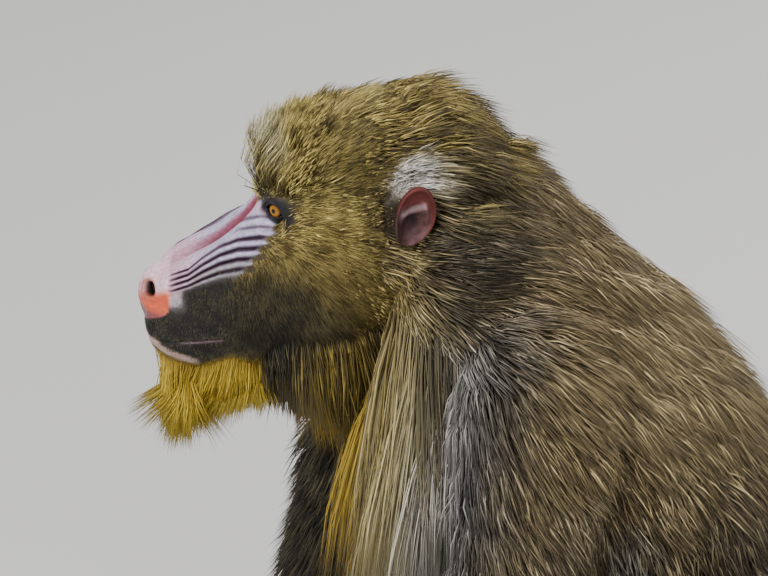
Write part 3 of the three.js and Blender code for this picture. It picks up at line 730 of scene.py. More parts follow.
chest_front = on_trunk * ease(-Y, 60, 150) * (ABS < 92) * fade(Z, 380, 430)
belly = on_trunk * ease(-(Y + 0.42 * (Z - 300)), 40, 70) * (Z < 330) * ease(Z, 25, 75)
beard_top = np.interp(Y, [-427, -395, -368, -333, -300, -240], [410, 397, 410, 401, 408, 432])
beard_area = on_head * ease(beard_top - Z, -2, 3)
jaw_edge = on_head * band(Z, beard_top - 2, beard_top + 20, 6)
jaw_edge = jaw_edge * ease(Y, -345, -320) * (Y < -240) * (ABS > 30)
jaw_under = on_head * ease(-skin_out[:, 2], 0.45, 0.75) * ease(Y, -350, -335)
jaw_under = jaw_under * (Z < 440) * (Y < -235)
throat_yellow = blob((44, -262, 412), (50, 66, 60), 0.3) * ease(beard_top - Z, -14, 2)
throat_yellow *= 1 - 0.85 * on_trunk * (1 - fade(ABS, 45, 60) * ease(Z, 368, 384))
yellow = np.maximum(beard_area, throat_yellow)
white_fan = blob((90, -204, 352), (46, 56, 122), 0.3) * (Z < 464)
ruff_yellow = np.maximum(blob((0, -236, 360), (56, 66, 90)), blob((80, -244, 405), (24, 32, 92), 0.4))
ruff_yellow = on_trunk * ruff_yellow
# Darker in the middle of the chest, reaching further on the right side: painted shade.
chest_shade = np.linalg.norm((skin_at + (28, 240, -340)) / (58, 70, 105), axis=1)
chest_shade = on_trunk * fade(chest_shade, 0.7, 1.3) * fade(Z, 400, 440)
blue_grey = blob((108, -176, 330), (46, 44, 140))
dark_neck = blob((84, -188, 568), (50, 30, 24), 0.4) * fade(skin_out[:, 1], 0.55, 0.85)
neck_arc = blob((98, -194, 526), (34, 42, 13), 0.5) * 0.85
# A near-black arc behind the cheek, between the cheek's hair and the mane: a painted shadow.
arc_shadow = bell(Z - 480 - 0.95 * (Y + 216), 11) * band(Y, -222, -172, 8) * (ABS > 55) * (1 - on_head)
ear_white = blob((66, -235, 571), (26, 19, 14), 0.3) + blob((78, -214, 562), (14, 7, 14))
ear_white = np.clip(ear_white, 0, 1)
before_ear = blob((72, -255, 544), (34, 20, 28), 0.4)
before_white = blob((64, -268, 580), (30, 26, 18), 0.4)
at_ear_front = blob((70, -250, 543), (24, 14, 28), 0.3)
ear_back = on_head * ease(Y, -236, -214) * ease(ABS, 52, 70) * (1 - ear_white)
fringe_pale = on_head * blob((0, -348, 566), (60, 22, 22), 0.4) * ease(Z, 547, 556)
below_ear = blob((86, -226, 505), (34, 26, 20), 0.4)
nape_dark = blob((50, -194, 602), (46, 26, 24), 0.4)
crown_side = on_head * band(Z, 558, 600, 10) * band(Y, -302, -215, 14) * (ABS > 20)
# Lighter towards the top of the back and the shoulders: painted light from above.
back_lit_from_above = ease(Z, 340, 420) * ease(Y, -120, -60)
shoulder_lit_from_above = ease(Z, 300, 400) * ease(Y, -190, -120)
# Darker low on the flanks and over the rear of the trunk: painted shade.
flank_shade = fade(Z, 280, 350) * ease(Y, -60, 0) * on_trunk
arm_pale = blob((150, -118, 300), (52, 36, 62), 0.4)
jaw_black = on_head * blob((46, -344, 428), (36, 26, 20), 0.4)
jaw_crease = on_head * band(Y, -339, -325, 5) * fade(Z, 408, 424)
brow_dark = blob((34, -342, 545), (26, 12, 4), 0.5) * 0.8
jaw_dark = blob((52, -330, 452), (46, 44, 34), 0.45) * on_head
lip_dark = on_head * ease(-Y, 352, 380) * (slope < 420)
on_crest = on_head * ease(Z, 545, 575) * ease(Y, -325, -290)
crest_ridges = (0.5 + 0.5 * np.sin((Z - 0.5 * ABS) / 2.3 + 1.7 * ripple(skin_at, 60, 9))) * on_crest
on_arm = places["arm_left"][0] + places["arm_right"][0] > 0
limb_low = (of_part("shank") | of_part("arm") & on_arm) * ease(-Z, -210, -90)
paw_low = ((Z < 56) & (of_part("arm", "shank") | (Y < -90))).astype(float)
# Darker on the inner side of the right arm: painted shade.
far_arm_shade = of_part("arm_right") * ease(skin_out[:, 0], -0.5, 0.05)
speck = ripple(skin_at, 26, 3) * 0.5 + ripple(skin_at, 60, 4) * 0.5

# The coat's colours: olive brown, darker at the limbs, with a yellow beard and a pale fan. Painted light and
# shade
# are laid in too: lighter shoulders and back as if lit from above, and painted shade on the lower flanks, the
# middle of the chest, an arc behind the cheek, the inner side of the right arm and the crest's valleys. They
# are laid over one another, each with how strongly it covers and its colour, in hundredths, at tip and root.
TIP, ROOT = 1, 2
COAT_COLOURS = [
    # The shoulders and the back are lighter above: painted light from above.
    (1, (64, 57, 42), (29, 24.5, 17.5)), (shoulder_lit_from_above, (76, 67, 48), (35, 29, 20)),
    # The darker lower flanks on this line are painted shade.
    (back_lit_from_above, (86, 77, 57), (42, 36, 26)), (flank_shade * 0.6, (36, 32, 25), (14, 12, 10)),
    (arm_pale * 0.7, (76, 70, 58), (37, 33, 27)),
    (np.clip(speck, 0, 1) * 0.4 * on_trunk * (1 - flank_shade), (72, 63, 42), None),
    (on_head, (91, 82, 47), (33, 27, 11)), (on_head * ease(Y, -270, -215), (78, 68, 38), None),
    (on_head * ease(-Z, -525, -485), (74, 65, 38), None), (crown_side * 0.6, (52, 45, 23), (18, 14.5, 6)),
    (before_ear * 0.65, (50, 43, 26), None), (before_ear * 0.7, None, (14, 11, 6)),
    (below_ear * 0.6, (50, 44, 31), (15, 12.5, 9)), (nape_dark * 0.7, (36, 33, 25), (13, 12, 9)),
    (fringe_pale * 0.9, (95, 94, 85), None), (brow_dark * 0.7, (58, 54, 40), None),
    (brow_dark * 0.8, None, (8, 7, 6)), (ear_back, (34, 31, 26), (15, 14, 12)),
    (dark_neck, (22, 20.5, 18), None), (dark_neck * 0.9, None, (13, 12.5, 11)),
    # The near-black arc behind the cheek on this line is a painted shadow.
    (neck_arc, (66, 61, 52), (36, 32, 27)), (arc_shadow, (14, 13, 11.5), (4, 4, 3.5)),
    (blue_grey, (47, 45, 44), (18, 17, 17)), (white_fan, (84, 81, 77), (42, 41, 40)),
    # The darker middle of the chest on this line is painted shade.
    (ruff_yellow, (86, 80, 58), (60, 54, 34)), (chest_shade * 0.8, (30, 27, 22), (10, 9, 8)),
    (chest_front * 0.8, (64, 61, 55), (38, 35, 31)), (belly, (68, 65, 60), (50, 47, 42)),
    (yellow, (80, 68, 26), (54, 43, 11)), (ear_white, (100, 98, 95), (93, 90, 86)),
    (jaw_dark, (50, 46, 31), (15, 13.5, 9)), (lip_dark, (48, 46, 34), (5, 5, 4)),
    # The darker inner side of the right arm, here and on the next line, is painted shade.
    (limb_low, (46, 41, 30), (15, 13.5, 11)), (far_arm_shade * 0.7, (40, 37, 27), None),
    (far_arm_shade * 0.85, None, (8, 7.5, 6.5)), (beard_area, (86, 76, 28), (64, 52, 12)),
    (jaw_under, (80, 66, 17), (52, 41, 8)), (jaw_edge, (66, 58, 24), (24, 20, 9)),
    (fringe_pale * 0.7, None, (52, 50, 40)), (jaw_black * 0.8, (26, 24, 17), (5.5, 5, 4)),
    # The last row darkens the roots in the valleys between the crest's ridges: painted shade.
    (jaw_crease * 0.75, (32, 26, 10), (10, 8, 4)), ((1 - crest_ridges) * on_crest * 0.6, None, (13, 10, 5)),
]


def laid_over(rows, which=1):
    total = np.zeros((len(skin_at), 3))
    for row in rows:
        if row[which]:
            cover = np.broadcast_to(row[0], len(skin_at))[:, None]
            total = total * (1 - cover) + np.array(row[which]) / 100 * cover
    return total


tip_colour, base_colour = laid_over(COAT_COLOURS, TIP), laid_over(COAT_COLOURS, ROOT)

# The bare skin: lilac ribs with dark grooves, deepened by painted shade in and beside them, a red valley, a
# pink and orange-red nose with painted shade in its nostrils, painted shade where the lips meet, black round
# the eyes, a pale chin, dark red ears with painted shade in their hollow and at the front and a painted
# highlight on the inner ridge, and a rump of lilac, blue and pink. It has pores and creases and is wettest at
# the nose. Under the coat the hide is dark, half of it in the hair's own colour.
mottled = 0.5 + 0.5 * ripple(skin_at, 9, 61)
forward = ease(-Y, 375, 412)
# The grooves' own dark colour, with painted shade in them.
groove = groove_depth(rib_across, Y) * rib_strength * (rib_across > -1.2) * (rib_across < 1.5)
# A soft darker band on each side of the long grooves: painted shade.
groove_shade = bell(rib_across * 3 - np.round(rib_across * 3), 0.3) * (rib_across > -0.25) * (rib_across < 1.25)
valley = np.exp(-((X / 9.5) ** 4)) * ease(-Y, 338, 348) * (Z > 455)
ring = np.minimum(*[nostril_ring(skin_at, way)[0] for way in SIDES.values()])
# Near black inside each nostril, which is a deep hole: painted shade.
nostril_shade, nostril_rim = 1 - ease(ring, 0.7, 1.05), bell(ring - 1.15, 0.25)
ear_a = (Y - EAR["y"]) / (EAR["wide"] * math.cos(math.radians(EAR["turn"])))
ear_b = (Z - EAR["z"]) / EAR["high"]
ear_rim = on_ear * ease(np.hypot(ear_a, ear_b), 0.72, 0.86)
# A pale band along the ridge inside the ear: a painted highlight.
ear_ridge_highlight = on_ear * bell(ear_b - 0.3 - 0.3 * ear_a, 0.15) * fade(np.abs(ear_a), 0.5, 0.8)
# Dark in the deep hollow of the ear: painted shade.
ear_hollow_shade = on_ear * np.exp(-(((ear_a + 0.15) / 0.4) ** 2) - ((ear_b + 0.1) / 0.32) ** 2)
callous = blob((34, 66, 8), (30, 30, 20), 0.12)
around = np.hypot(X, (Z - 92))
HIDE_COLOURS = [
    (1, (20, 17, 14)), (paw_low, (10.5, 9, 8.5)), (paw_low * mottled * 0.5, (17, 14.5, 13.5)),
    (lip_dark, (13, 11.5, 11)), (jaw_dark * 0.8, (12, 10, 10)), (muzzle_bare, (75, 72, 81)),
    (muzzle_bare * band(rib_across, -1.2, -0.75, 0.12) * 0.5, (86, 66, 74)),
    (muzzle_bare * ease(rib_across, 0.3, 0.95) * 0.8, (50, 50, 45)),
    (muzzle_bare * forward * 0.8, (80, 62, 68)),
    (muzzle_bare * mottled * 0.22 * (1 - forward), (62, 60, 80)),
    (valley * muzzle_bare * (1 - 0.8 * forward), (44, 13, 20)),
    # Painted shade beside the grooves, then the grooves' own dark colour deepened by painted shade.
    (groove_shade * rib_strength * muzzle_bare * 0.7, (40, 32, 42)), (groove * muzzle_bare, (20, 12, 17)),
    (blob((24, -409, 452), (14, 8, 8), 0.5) * 0.9, (62, 61, 63)), (nose_bare, (88, 72, 78)),
    (nose_bare * fade(nose_under, 447, 456), (82, 34, 22)),
    (nose_bare * fade(Z, 437, 447), (42, 24, 27)),
    (nose_bare * bell(X, 3.5) * fade(Z, 452, 466) * 0.7, (66, 22, 20)),
    # The near-black inside the nostrils at the end of this line is painted shade.
    (nose_bare * nostril_rim * 0.7, (60, 33, 22)), (nostril_shade, (6, 1.5, 1.2)),
    # The near-black line where the lips meet is painted shade.
    (lips_bare * 0.85, (50, 38, 40)), (bell(mouth_line, 0.8) * ease(-Y, 371, 376), (5, 3, 3)),
    (chin_bare * 0.9, (76, 64, 60)),
    (eye_dark, (3, 2.5, 2.2)), (ear_white * (1 - on_ear), (80, 77, 73)), (on_ear, (40, 27, 28)),
    (on_ear * mottled * 0.7, (27, 15, 15)), (on_ear * ease(ear_b, 0.25, 0.6), (34, 12, 11)),
    # The dark of the ear's hollow is painted shade, and the pale band on its ridge a painted highlight.
    (ear_hollow_shade, (13, 7, 6.5)), (ear_ridge_highlight * 0.9, (66, 56, 57)),
    (ear_rim * ease(ear_b + 0.5 * ear_a, -0.5, 0.3), (35, 14, 12)),
    # Darker towards the front and the lower edge of the ear: painted shade.
    (on_ear * fade(ear_a + 0.35 * ear_b, -0.75, -0.35) * 0.8, (22, 14, 13)),
    (rump_bare, (56, 50, 66)), (rump_bare * ease(around, 20, 52) * 0.9, (40, 43, 64)),
    (rump_bare * fade(around, 8, 34) * 0.9, (68, 42, 50)), (callous, (54, 34, 33)),
    (rump_bare * mottled * 0.3, (45, 38, 50)),
]
hide_colour = laid_over(HIDE_COLOURS)
under_fur = (fade(bareness, 0.3, 0.7) * (1 - ear_white))[:, None] * 0.5
hide_colour = hide_colour * (1 - under_fur) + base_colour * under_fur
hide_colour *= (1 + 0.06 * ripple(skin_at, 5, 62))[:, None]


def paint(mesh, name, colours):
    """Keeps these colours, one for each point, as the mesh's own."""
    layer = mesh.color_attributes.new(name, "FLOAT_COLOR", "POINT")
    layer.data.foreach_set("color", np.insert(np.clip(colours, 0, 1) ** 2.2, 3, 1, axis=1).ravel())


def set_up(tree, made, settings):
    """A setting is one of the node's properties, or the value or the source of one of its sockets."""
    for key, value in settings.items():
        socket = key.replace("_", " ")
        if socket not in made.inputs:
            setattr(made, key, value)
        elif isinstance(value, bpy.types.NodeSocket):
            tree.links.new(value, made.inputs[socket])
        else:
            made.inputs[socket].default_value = value
    return made


def node(tree, kind, **settings):
    return set_up(tree, tree.nodes.new(kind), settings)


def grain_group():
    """Fine grain that darkens and lightens a colour, for hide, hair and horn alike."""
    made = bpy.data.node_groups.new("fine_grain", "ShaderNodeTree")
    made.interface.new_socket("Colour", in_out="INPUT", socket_type="NodeSocketColor")
    for name in ("Scale", "Detail", "Roughness", "Dark", "Light", "Strength"):
        made.interface.new_socket(name, in_out="INPUT", socket_type="NodeSocketFloat")
    made.interface.new_socket("Colour", in_out="OUTPUT", socket_type="NodeSocketColor")
    made.interface.new_socket("Grain", in_out="OUTPUT", socket_type="NodeSocketFloat")
    given, place = node(made, "NodeGroupInput").outputs, node(made, "ShaderNodeTexCoord")
    noise = node(made, "ShaderNodeTexNoise", Vector=place.outputs["Object"], Scale=given["Scale"],
                 Detail=given["Detail"], Roughness=given["Roughness"])
    shade = node(made, "ShaderNodeMapRange", Value=noise.outputs["Fac"], To_Min=given["Dark"],
                 To_Max=given["Light"])
    varied = node(made, "ShaderNodeMix", data_type="RGBA", blend_type="MULTIPLY", Factor=given["Strength"])
    made.links.new(given["Colour"], varied.inputs[6])
    made.links.new(shade.outputs["Result"], varied.inputs[7])
    node(made, "NodeGroupOutput", Colour=varied.outputs[2], Grain=noise.outputs["Fac"])
    return made


fine_grain = grain_group()


def new_material(name):
    made = bpy.data.materials.new(name)
    made.use_nodes = True
    return made, made.node_tree


def dress(material, **settings):
    """Sets the material's shader: what is the same all over on its own sockets, the rest from other nodes."""
    set_up(material.node_tree, material.node_tree.nodes["Principled BSDF"], settings)


paint(skin.data, "coat", hide_colour)
gloss = nose_bare + muzzle_bare * 0.6 + eye_dark * 0.25 + lips_bare * 0.5
skin.data.attributes.new("gloss", "FLOAT", "POINT").data.foreach_set("value", np.clip(gloss, 0, 1))
hide, tree = new_material("hide")
painted = node(tree, "ShaderNodeVertexColor", layer_name="coat")
pores = node(tree, "ShaderNodeGroup", node_tree=fine_grain, Colour=painted.outputs["Color"], Scale=900,
             Detail=3, Roughness=0.6, Dark=0.55, Light=1.35, Strength=0.35)
wet = node(tree, "ShaderNodeAttribute", attribute_name="gloss")
rough = node(tree, "ShaderNodeMapRange", Value=wet.outputs["Fac"], To_Min=0.68, To_Max=0.40)
place = node(tree, "ShaderNodeTexCoord")
creases = node(tree, "ShaderNodeTexVoronoi", feature="DISTANCE_TO_EDGE", Vector=place.outputs["Object"],
               Scale=420)
fold = node(tree, "ShaderNodeMapRange", Value=creases.outputs["Distance"], From_Max=0.12, To_Max=0.5)
relief = node(tree, "ShaderNodeMath", operation="ADD")
tree.links.new(fold.outputs["Result"], relief.inputs[0])
tree.links.new(pores.outputs["Grain"], relief.inputs[1])
bump = node(tree, "ShaderNodeBump", Height=relief.outputs[0], Strength=0.5, Distance=0.0005)
dress(hide, Base_Color=pores.outputs["Colour"], Roughness=rough.outputs["Result"],
      Normal=bump.outputs["Normal"], Specular_IOR_Level=0.45)
skin.data.materials.clear()
skin.data.materials.append(hide)
bpy.ops.object.select_all(action="DESELECT")
skin.select_set(True)
bpy.context.view_layer.objects.active = skin
bpy.ops.object.shade_smooth()
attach(skin, "root")
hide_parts(*[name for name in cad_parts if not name.startswith("eye_")])

# The short coat of the head: tapered, three-sided tufts rooted in the hide, close on muzzle and cheeks,
# longer over the skull, and upright in a pale fringe above the brow. An unwrap of the hide gives each tuft
# its own small patch, at its root's place.
select_faces(skin, np.ones(len(skin.data.polygons), bool))
bpy.ops.uv.smart_project(angle_limit=math.radians(66), island_margin=0.002)
bpy.ops.object.mode_set(mode="OBJECT")
skin_uv = numbers(skin.data.uv_layers[0].data, "uv", 2).reshape(-1, 3, 2)
first, second, third = (skin_at[triangles[:, k]] for k in range(3))
area = np.linalg.norm(np.cross(second - first, third - first), axis=1) / 2


def area_of(density):
    return (area * np.minimum(density[triangles].mean(1), 1)).sum()


def roots(density, count, draw):
    """Places on the hide, more where the density is high: which triangle, and its three corners' shares."""
    steps = np.cumsum(area * density[triangles].mean(1))
    where = (np.arange(count) + draw.uniform(0, 1, count)) / count * steps[-1]
    chosen = np.minimum(np.searchsorted(steps, where), len(triangles) - 1)
    a, b = np.sqrt(draw.uniform(0, 1, count)), draw.uniform(0, 1, count)
    return chosen, np.stack([1 - a, a * (1 - b), a * b], 1)


def at_roots(values, chosen, shares):
    return (values[triangles[chosen]] * shares[:, :, None]).sum(1)


def crosses_ear(place):
    x, y, z = place.T
    off = np.hypot((y - EAR["y"]) / (EAR["wide"] + 3), (z - EAR["z"]) / (EAR["high"] + 3))
    return (np.abs(x) > 62) & (off < 1)


# How deep a tuft's foot is in the hide, how low a hair may hang, and how large its patch is on the unwrap
BURIED, LOWEST, PATCH = 1.2, 0.8, 0.003


def hair(name, density, count, long, wide, lift, seed, rings=2, clump=9.0, gather=0.45, stray=0.16,
         hang=0.0, length_map=None, mixed=1.0):
    """A piece of the coat: tufts that lie along the flow and gather into locks of the clump's size."""
    draw = np.random.default_rng(seed)
    chosen, shares = roots(density, count, draw)
    root = at_roots(skin_at, chosen, shares)
    out = unit(at_roots(skin_out, chosen, shares))
    lie = at_roots(flow, chosen, shares)
    wander = np.stack([ripple(root, 45, seed + k) for k in range(3)], 1) * 0.16
    lie = lie + wander + draw.normal(size=lie.shape) * stray
    lie = unit(lie - out * (lie * out).sum(1)[:, None])
    lie = unit(lie * (1 - hang) + np.array([0, -0.2, -1.0]) * hang)
    size = draw.uniform(0.75, 1.2, count)
    if length_map is not None:
        size *= at_roots(length_map[:, None], chosen, shares)[:, 0]
    length = (long * size)[:, None]
    rise = (lift * size * draw.uniform(0.6, 1.3, count) * (1 + 0.35 * ripple(root, 30, seed + 7)))[:, None]

    def single(s):
        return root + lie * length * s + out * rise * (1 - (1 - s) ** 2)

    # A hair that would cross the cup of an ear stays short
    crossing = crosses_ear(single(0.35)) | crosses_ear(single(0.6)) | crosses_ear(single(1.0))
    length[crossing] *= 0.3
    rise[crossing] *= 0.3
    heads = draw.permutation(count)[: max(1, int(area_of(density) / (clump * clump)))]
    tree = kdtree.KDTree(len(heads))
    for k, h in enumerate(heads):
        tree.insert(root[h], k)
    tree.balance()
    own = heads[[tree.find(place)[1] for place in root]]
    pull = gather * draw.uniform(0.5, 1, count)[:, None]

    def along_tuft(s):
        place = single(s)
        gathered = root[own] + (place - root)[own] * (length / length[own])
        return place + (gathered - place) * pull * s**1.5

    edge = unit(np.cross(lie, out))
    edge = unit(edge + out * draw.normal(size=(count, 1)) * 0.35)
    face = unit(np.cross(edge, lie))
    broad = (wide * draw.uniform(0.75, 1.25, count) / 2)[:, None]
    points, patch = [], []
    for k in range(rings):
        s = k / rings
        place = along_tuft(s) - out * (BURIED if k == 0 else 0)
        full = broad * (0.8 if k == 0 and rings > 1 else 1 - 0.35 * s * (s > 0.5))
        points += [place + edge * full, place + face * full * 0.8, place - edge * full]
        patch += [(0, s), (0.5, s), (1, s)]
    points = np.stack([*points, along_tuft(1.0)], 1)
    points[:, :, 2] = np.maximum(points[:, :, 2], LOWEST)
    pattern, per = [(0, 2, 1)], 3 * rings + 1
    for k in range(0, 3 * rings - 3, 3):
        for a, b in ((0, 1), (1, 2), (2, 0)):
            pattern += [(k + a, k + b, k + b + 3), (k + a, k + b + 3, k + a + 3)]
    last = 3 * rings - 3
    pattern += [(last, last + 1, last + 3), (last + 1, last + 2, last + 3), (last + 2, last, last + 3)]
    faces = (np.array(pattern)[None] + (np.arange(count) * per)[:, None, None]).reshape(-1, 3)
    mesh = bpy.data.meshes.new(name)
    mesh.vertices.add(count * per)
    mesh.vertices.foreach_set("co", (points * MM).ravel())
    mesh.loops.add(len(faces) * 3)
    mesh.loops.foreach_set("vertex_index", faces.ravel())
    mesh.polygons.add(len(faces))
    mesh.polygons.foreach_set("loop_start", np.arange(len(faces)) * 3)
    mesh.polygons.foreach_set("use_smooth", np.ones(len(faces), bool))
    mesh.update()
    # Each hair is pale at its tip, or has a pale band below a dark tip, and some stay dark
    tips, bases = at_roots(tip_colour, chosen, shares), at_roots(base_colour, chosen, shares)
    pale = draw.uniform(0, 1, (count, 1)) + 0.22 * ripple(root, 16, seed + 9)[:, None]
    tips = bases + (tips - bases) * (0.7 + mixed * (ease(pale, 0.15, 0.85) - 0.58))
    bases = bases * draw.uniform(0.7, 1.1, (count, 1))
    depth = np.repeat(np.arange(rings) / rings, 3)
    depth = np.append(depth, 1.0)[None] ** 1.1 + np.zeros((count, 1))
    if rings > 1:
        banded = draw.uniform(0, 1, count) < 0.4
        depth[banded, 3:-1] = 1.0
        depth[banded, -1] = 0.3
    paint(mesh, "coat", (bases[:, None] + (tips - bases)[:, None] * depth[:, :, None]).reshape(-1, 3))
    place = (skin_uv[chosen] * shares[:, :, None]).sum(1)
    patch = np.array([*patch, (0.5, 1)]) * PATCH
    spread = (place[:, None] + patch[None] - PATCH / 2).reshape(-1, 2)[faces.ravel()]
    mesh.uv_layers.new(name="OFBake").data.foreach_set("uv", np.clip(spread, 0, 1).ravel())
    mesh.materials.append(fur)
    piece = bpy.data.objects.new(name, mesh)
    bpy.context.scene.collection.objects.link(piece)
    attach(piece, "root")


fur, tree = new_material("fur")
painted = node(tree, "ShaderNodeVertexColor", layer_name="coat")
streaks = node(tree, "ShaderNodeGroup", node_tree=fine_grain, Colour=painted.outputs["Color"], Scale=240,
               Detail=2, Roughness=0.5, Dark=0.72, Light=1.28, Strength=1.0)
dull = node(tree, "ShaderNodeMapRange", Value=streaks.outputs["Grain"], To_Min=0.48, To_Max=0.72)
dress(fur, Base_Color=streaks.outputs["Colour"], Roughness=dull.outputs["Result"])
ear_gap = 0
for way in SIDES.values():
    off = np.hypot((Y - EAR["y"] + 4) / (EAR["wide"] * 1.1), (Z - EAR["z"]) / (EAR["high"] * 0.92))
    ear_gap = np.maximum(ear_gap, fade(off, 0.85, 1.0) * (ABS > 50) * (Z > 500))
furred = (1 - bareness) * (1 - ear_gap)
short_head = furred * on_head * fade(Y, -305, -235)
near_face = ease(-Y, 296, 312)
hair("fur_face", short_head * near_face, 40000, long=11, wide=0.85, lift=3.2, seed=21, rings=1,
     clump=5, gather=0.3, length_map=(0.42 + 0.58 * ease(Y, -400, -290)) * (1 - 0.35 * lip_dark))
top_front = ease(Z, 552, 590) * fade(Y, -290, -240)
hair("fur_head", short_head * (1 - near_face), 34000, long=16, wide=1.1, lift=5, seed=22, rings=1,
     clump=6, length_map=(1 - 0.1 * before_ear) * (1 - 0.45 * at_ear_front) * (1 + 0.4 * top_front))
fringe = furred * on_head * blob((0, -326, 574), (54, 44, 34), 0.3) * ease(Z, 545, 552)
hair("fur_fringe", fringe, 8000, long=24, wide=0.95, lift=20, seed=20, clump=6, gather=0.3,
     stray=0.05, length_map=1.22 - 0.74 * ease(Y, -345, -308))

# The crown: a crest of longer hair over the back of the head, in fine ridges at its front. It grows longer
# towards the nape, and stays short round the ears and on the white patches beside them.
grown = 0.32 + 0.68 * ease(Y, -290, -205)
low_head = ease(-Z, -545, -500)
short_here = (1 - 0.4 * before_ear) * (1 - 0.62 * ear_white) * (1 - 0.55 * before_white)
short_here *= 1 - 0.5 * at_ear_front
grown = np.maximum(grown, 0.42 * ease(Z, 575, 600))
crest = furred * on_head * ease(Y, -305, -255) * (1 + 0.8 * ear_white)
hair("fur_crown", crest, 15000, long=46, wide=1.25, lift=19, seed=23,
     length_map=grown * (1 - 0.45 * low_head) * (0.85 + 0.3 * crest_ridges) * short_here)

# The beard and the throat: yellow hair that hangs from the chin in a tuft, dark and yellow hair along the
# edge of the jaw, and long yellow hair from below the jaw down over the throat.
beard = furred * on_head * ease(beard_top - Z, 3, 8) * fade(Y, -345, -325)
hair("fur_beard", beard, 10000, long=54, wide=1.0, lift=9, seed=24, clump=8, gather=0.35,
     hang=0.42, length_map=0.72 + 0.4 * ease(-Y, 345, 400), mixed=0.7)
hair("fur_jaw", furred * jaw_edge, 4000, long=30, wide=1.0, lift=4, seed=17, clump=7, gather=0.35,
     hang=0.55, stray=0.2)
throat = np.maximum(jaw_under, on_trunk * (Y < -235) * band(Z, 370, 440, 10) * (ABS < 60)) * furred
hair("fur_throat", throat, 7000, long=92, wide=1.15, lift=10, seed=19, gather=0.35, hang=0.62,
     stray=0.22, length_map=0.5 + 0.5 * ease(Y, -345, -290), mixed=0.7)

# The ruff and the mane: a fan of straw-coloured and grey hair that falls from the neck over the chest, the
# longest of the coat, and behind it the mane of the neck and shoulders, longest along the top line.
ruff = furred * on_trunk * ease(-skin_out[:, 1], 0.1, 0.4) * band(Z, 300, 470, 20) * (ABS < 98)
ruff *= 0.15 + 0.85 * ease(ABS, 18, 40)
hair("fur_ruff", ruff, 8000, long=136, wide=1.3, lift=19, seed=18, rings=3, clump=13, hang=0.72,
     length_map=0.9 + 0.34 * ease(Z, 330, 400), mixed=0.45)
upper = furred * on_trunk
mane = upper * ease(Z, 330, 380)
top_line = fade(ABS, 25, 75) * ease(Y, -140, -60)
hair("fur_mane", mane * (1 - 0.7 * ruff), 16500, long=58, wide=1.35, lift=14, seed=25, clump=11,
     length_map=(0.72 + 0.45 * top_line) * (1 - 0.3 * dark_neck), mixed=0.85)

# The coat of the back and the belly: long, loose locks over back and flanks, which lie along the body, and a
# thinner, paler coat below the chest, which is longest at the front.
back_side = ease(Y + 0.42 * (Z - 300), -70, -40)
hair("fur_back", upper * fade(Z, 330, 380) * back_side, 15000, long=48, wide=1.55, lift=15,
     seed=26, clump=11, gather=0.4)
belly_fur = upper * fade(Z, 330, 380) * (1 - back_side)
hair("fur_belly", belly_fur, 5000, long=36, wide=1.9, lift=6, seed=27, clump=12, gather=0.4,
     hang=0.2, length_map=1 + 1.5 * chest_front)

# The coat of the limbs and the tail: long over the shoulders, shorter down the arms and legs, and shortest
# over the backs of the hands and feet, whose soles are bare. The tail is a short stub.
near_ground = 0.35 + 0.65 * ease(Z, 30, 120)
for k, side in enumerate(SIDES):
    arm_fur = furred * of_part("arm_" + side) * (Z > 22)
    high = ease(Z, 250, 300)
    hair("fur_shoulder_" + side, arm_fur * high, 5500, long=48, wide=1.45, lift=12, seed=28 + k,
         clump=11)
    hair("fur_arm_" + side, arm_fur * (1 - high), 10000, long=30, wide=1.6, lift=11, seed=30 + k,
         rings=1, clump=8, length_map=near_ground)
    leg_fur = furred * of_part("thigh_" + side, "shank_" + side) * (Z > 8)
    hair("fur_leg_" + side, leg_fur, 12500, long=27, wide=2.1, lift=5.5, seed=34 + k, rings=1,
         length_map=near_ground)
hair("fur_tail", furred * of_part("tail"), 1200, long=24, wide=1.8, lift=6, seed=40)

# The eyes: balls with an amber iris ringed in black, a round pupil and a slight bulge in front. They sit
# behind the lids and are wet all over. Iris and pupil are in degrees from the middle of the gaze.
IRIS, PUPIL = 29, 9
wet_eye, tree = new_material("eye")
painted = node(tree, "ShaderNodeVertexColor", layer_name="iris")
dress(wet_eye, Base_Color=painted.outputs["Color"], Roughness=0.2, Specular_IOR_Level=0.3, Coat_Weight=0.2,
      Coat_Roughness=0.03)
for side, way in SIDES.items():
    centre, gaze, across, up = eye_axes(way)
    bpy.ops.mesh.primitive_uv_sphere_add(segments=96, ring_count=90, radius=1)
    eye = bpy.context.object
    eye.name = "eyeball_" + side
    ball = read_points(eye)
    turned = np.degrees(np.arccos(np.clip(ball[:, 2], -1, 1)))
    size = EYE["r"] + 0.7 * fade(turned, 14, 34)
    angle = np.arctan2(ball[:, 1], ball[:, 0])
    spokes = 0.5 + 0.25 * np.sin(angle * 23 + 2 * np.sin(angle * 5)) + 0.25 * np.sin(angle * 41 + 1)
    write_points(eye, (centre + (ball @ np.stack([across, up, gaze])) * size[:, None]) * MM)
    amber = np.array([0.50, 0.31, 0.04]) + spokes[:, None] * np.array([0.24, 0.18, 0.03])
    amber *= (1 - 0.45 * ease(turned, 20, 27))[:, None]
    colour = np.where((turned < IRIS)[:, None], amber, np.array([0.16, 0.11, 0.09]))
    colour = np.where((np.abs(turned - IRIS) < 2.5)[:, None], 0.03, colour)
    paint(eye.data, "iris", np.where((turned < PUPIL)[:, None], 0.005, colour))
    eye.data.materials.append(wet_eye)
    bpy.ops.object.shade_smooth()
    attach(eye, "root")
    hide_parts("eye_" + side)

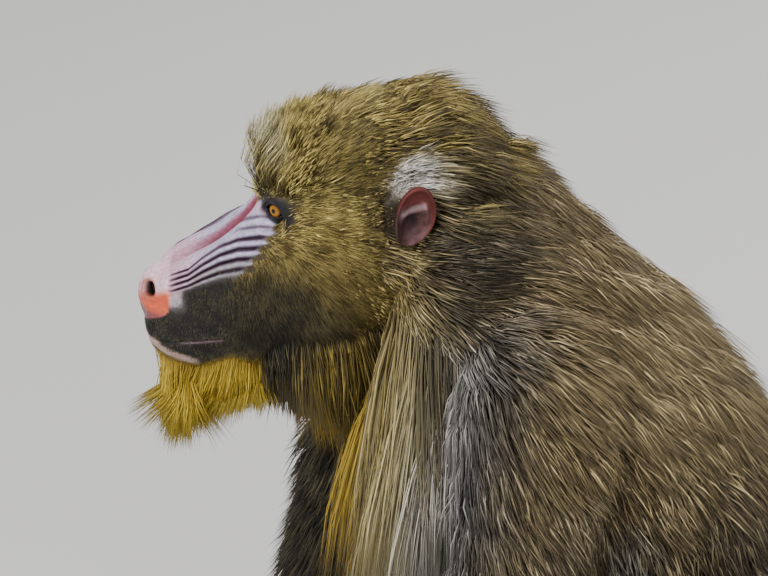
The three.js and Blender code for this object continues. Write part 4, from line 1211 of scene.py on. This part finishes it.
# The nails: dark horn, narrow and arched, one on each finger and toe. Each is a ball pressed flat and bent
# down at its sides and front, set on the upper side of its tip.
horn, tree = new_material("nail_horn")
grain = node(tree, "ShaderNodeGroup", node_tree=fine_grain, Scale=500, Detail=2, Roughness=0.5)
tone = node(tree, "ShaderNodeValToRGB", Fac=grain.outputs["Grain"])
tone.color_ramp.elements[0].color = (0.012, 0.010, 0.009, 1)
tone.color_ramp.elements[1].color = (0.07, 0.055, 0.045, 1)
dress(horn, Base_Color=tone.outputs["Color"], Roughness=0.35)
nails = []
for tip, way, thick in nail_places:
    bpy.ops.mesh.primitive_uv_sphere_add(segments=20, ring_count=14, radius=1)
    nail = bpy.context.object
    ball = read_points(nail)
    side, forward = np.array([-way[1], way[0], 0]), np.array([way[0], way[1], 0])
    long, wide = thick * 0.85, thick * 0.56
    drop = -0.30 * ball[:, 0] ** 2 - 0.2 * (ball[:, 1] + 0.4) ** 2
    middle = np.array(tip) + np.array([0, 0, thick * 0.60])
    points = middle + side * (ball[:, :1] * wide) + forward * (ball[:, 1:2] * long)
    points[:, 2] += ball[:, 2] * thick * 0.12 + drop * thick * 0.75
    write_points(nail, points * MM)
    nails.append(nail)
nail_set = joined(nails, "nails")
bpy.ops.object.shade_smooth()
nail_set.data.materials.append(horn)
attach(nail_set, "root")

# The setting: a pale floor and a pale, soft room with three large lamps, seen from the animal's left and
# from above, as in the photograph.
bpy.ops.mesh.primitive_plane_add(size=14)
floor = bpy.context.object
floor.name = "floor"
floor_paint, _ = new_material("floor_paint")
dress(floor_paint, Base_Color=(0.62, 0.61, 0.59, 1), Roughness=0.8)
floor.data.materials.append(floor_paint)
world = bpy.data.worlds.new("soft_room")
bpy.context.scene.world = world
world.use_nodes = True
room = world.node_tree
set_up(room, room.nodes["Background"], {"Color": (0.97, 0.98, 1.0, 1), "Strength": 0.55})
for name, power, size, place, aim in (
    ("key", 120, 1.4, (1.7, -1.5, 2.8), (0, -0.2, 0.4)),
    ("fill", 30, 2.0, (2.6, 1.4, 1.5), (0, -0.1, 0.3)),
    ("rim", 45, 1.2, (-1.8, 1.2, 2.2), (0, -0.1, 0.4)),
):
    lamp = bpy.data.lights.new(name, "AREA")
    lamp.energy, lamp.size = power, size
    light = bpy.data.objects.new(name, lamp)
    light.location = place
    from_aim = np.array(place) - np.array(aim)
    across_floor = math.hypot(from_aim[0], from_aim[1])
    light.rotation_euler = (math.atan2(across_floor, from_aim[2]), 0, math.atan2(from_aim[0], -from_aim[1]))
    bpy.context.scene.collection.objects.link(light)
optics = bpy.data.cameras.new("camera")
optics.lens, optics.sensor_width = 250, 36
camera = bpy.data.objects.new("camera", optics)
camera.location = (3.718, -0.251, 2.186)
camera.rotation_euler = (math.radians(65), 0, math.radians(90))
bpy.context.scene.collection.objects.link(camera)
bpy.context.scene.camera = camera
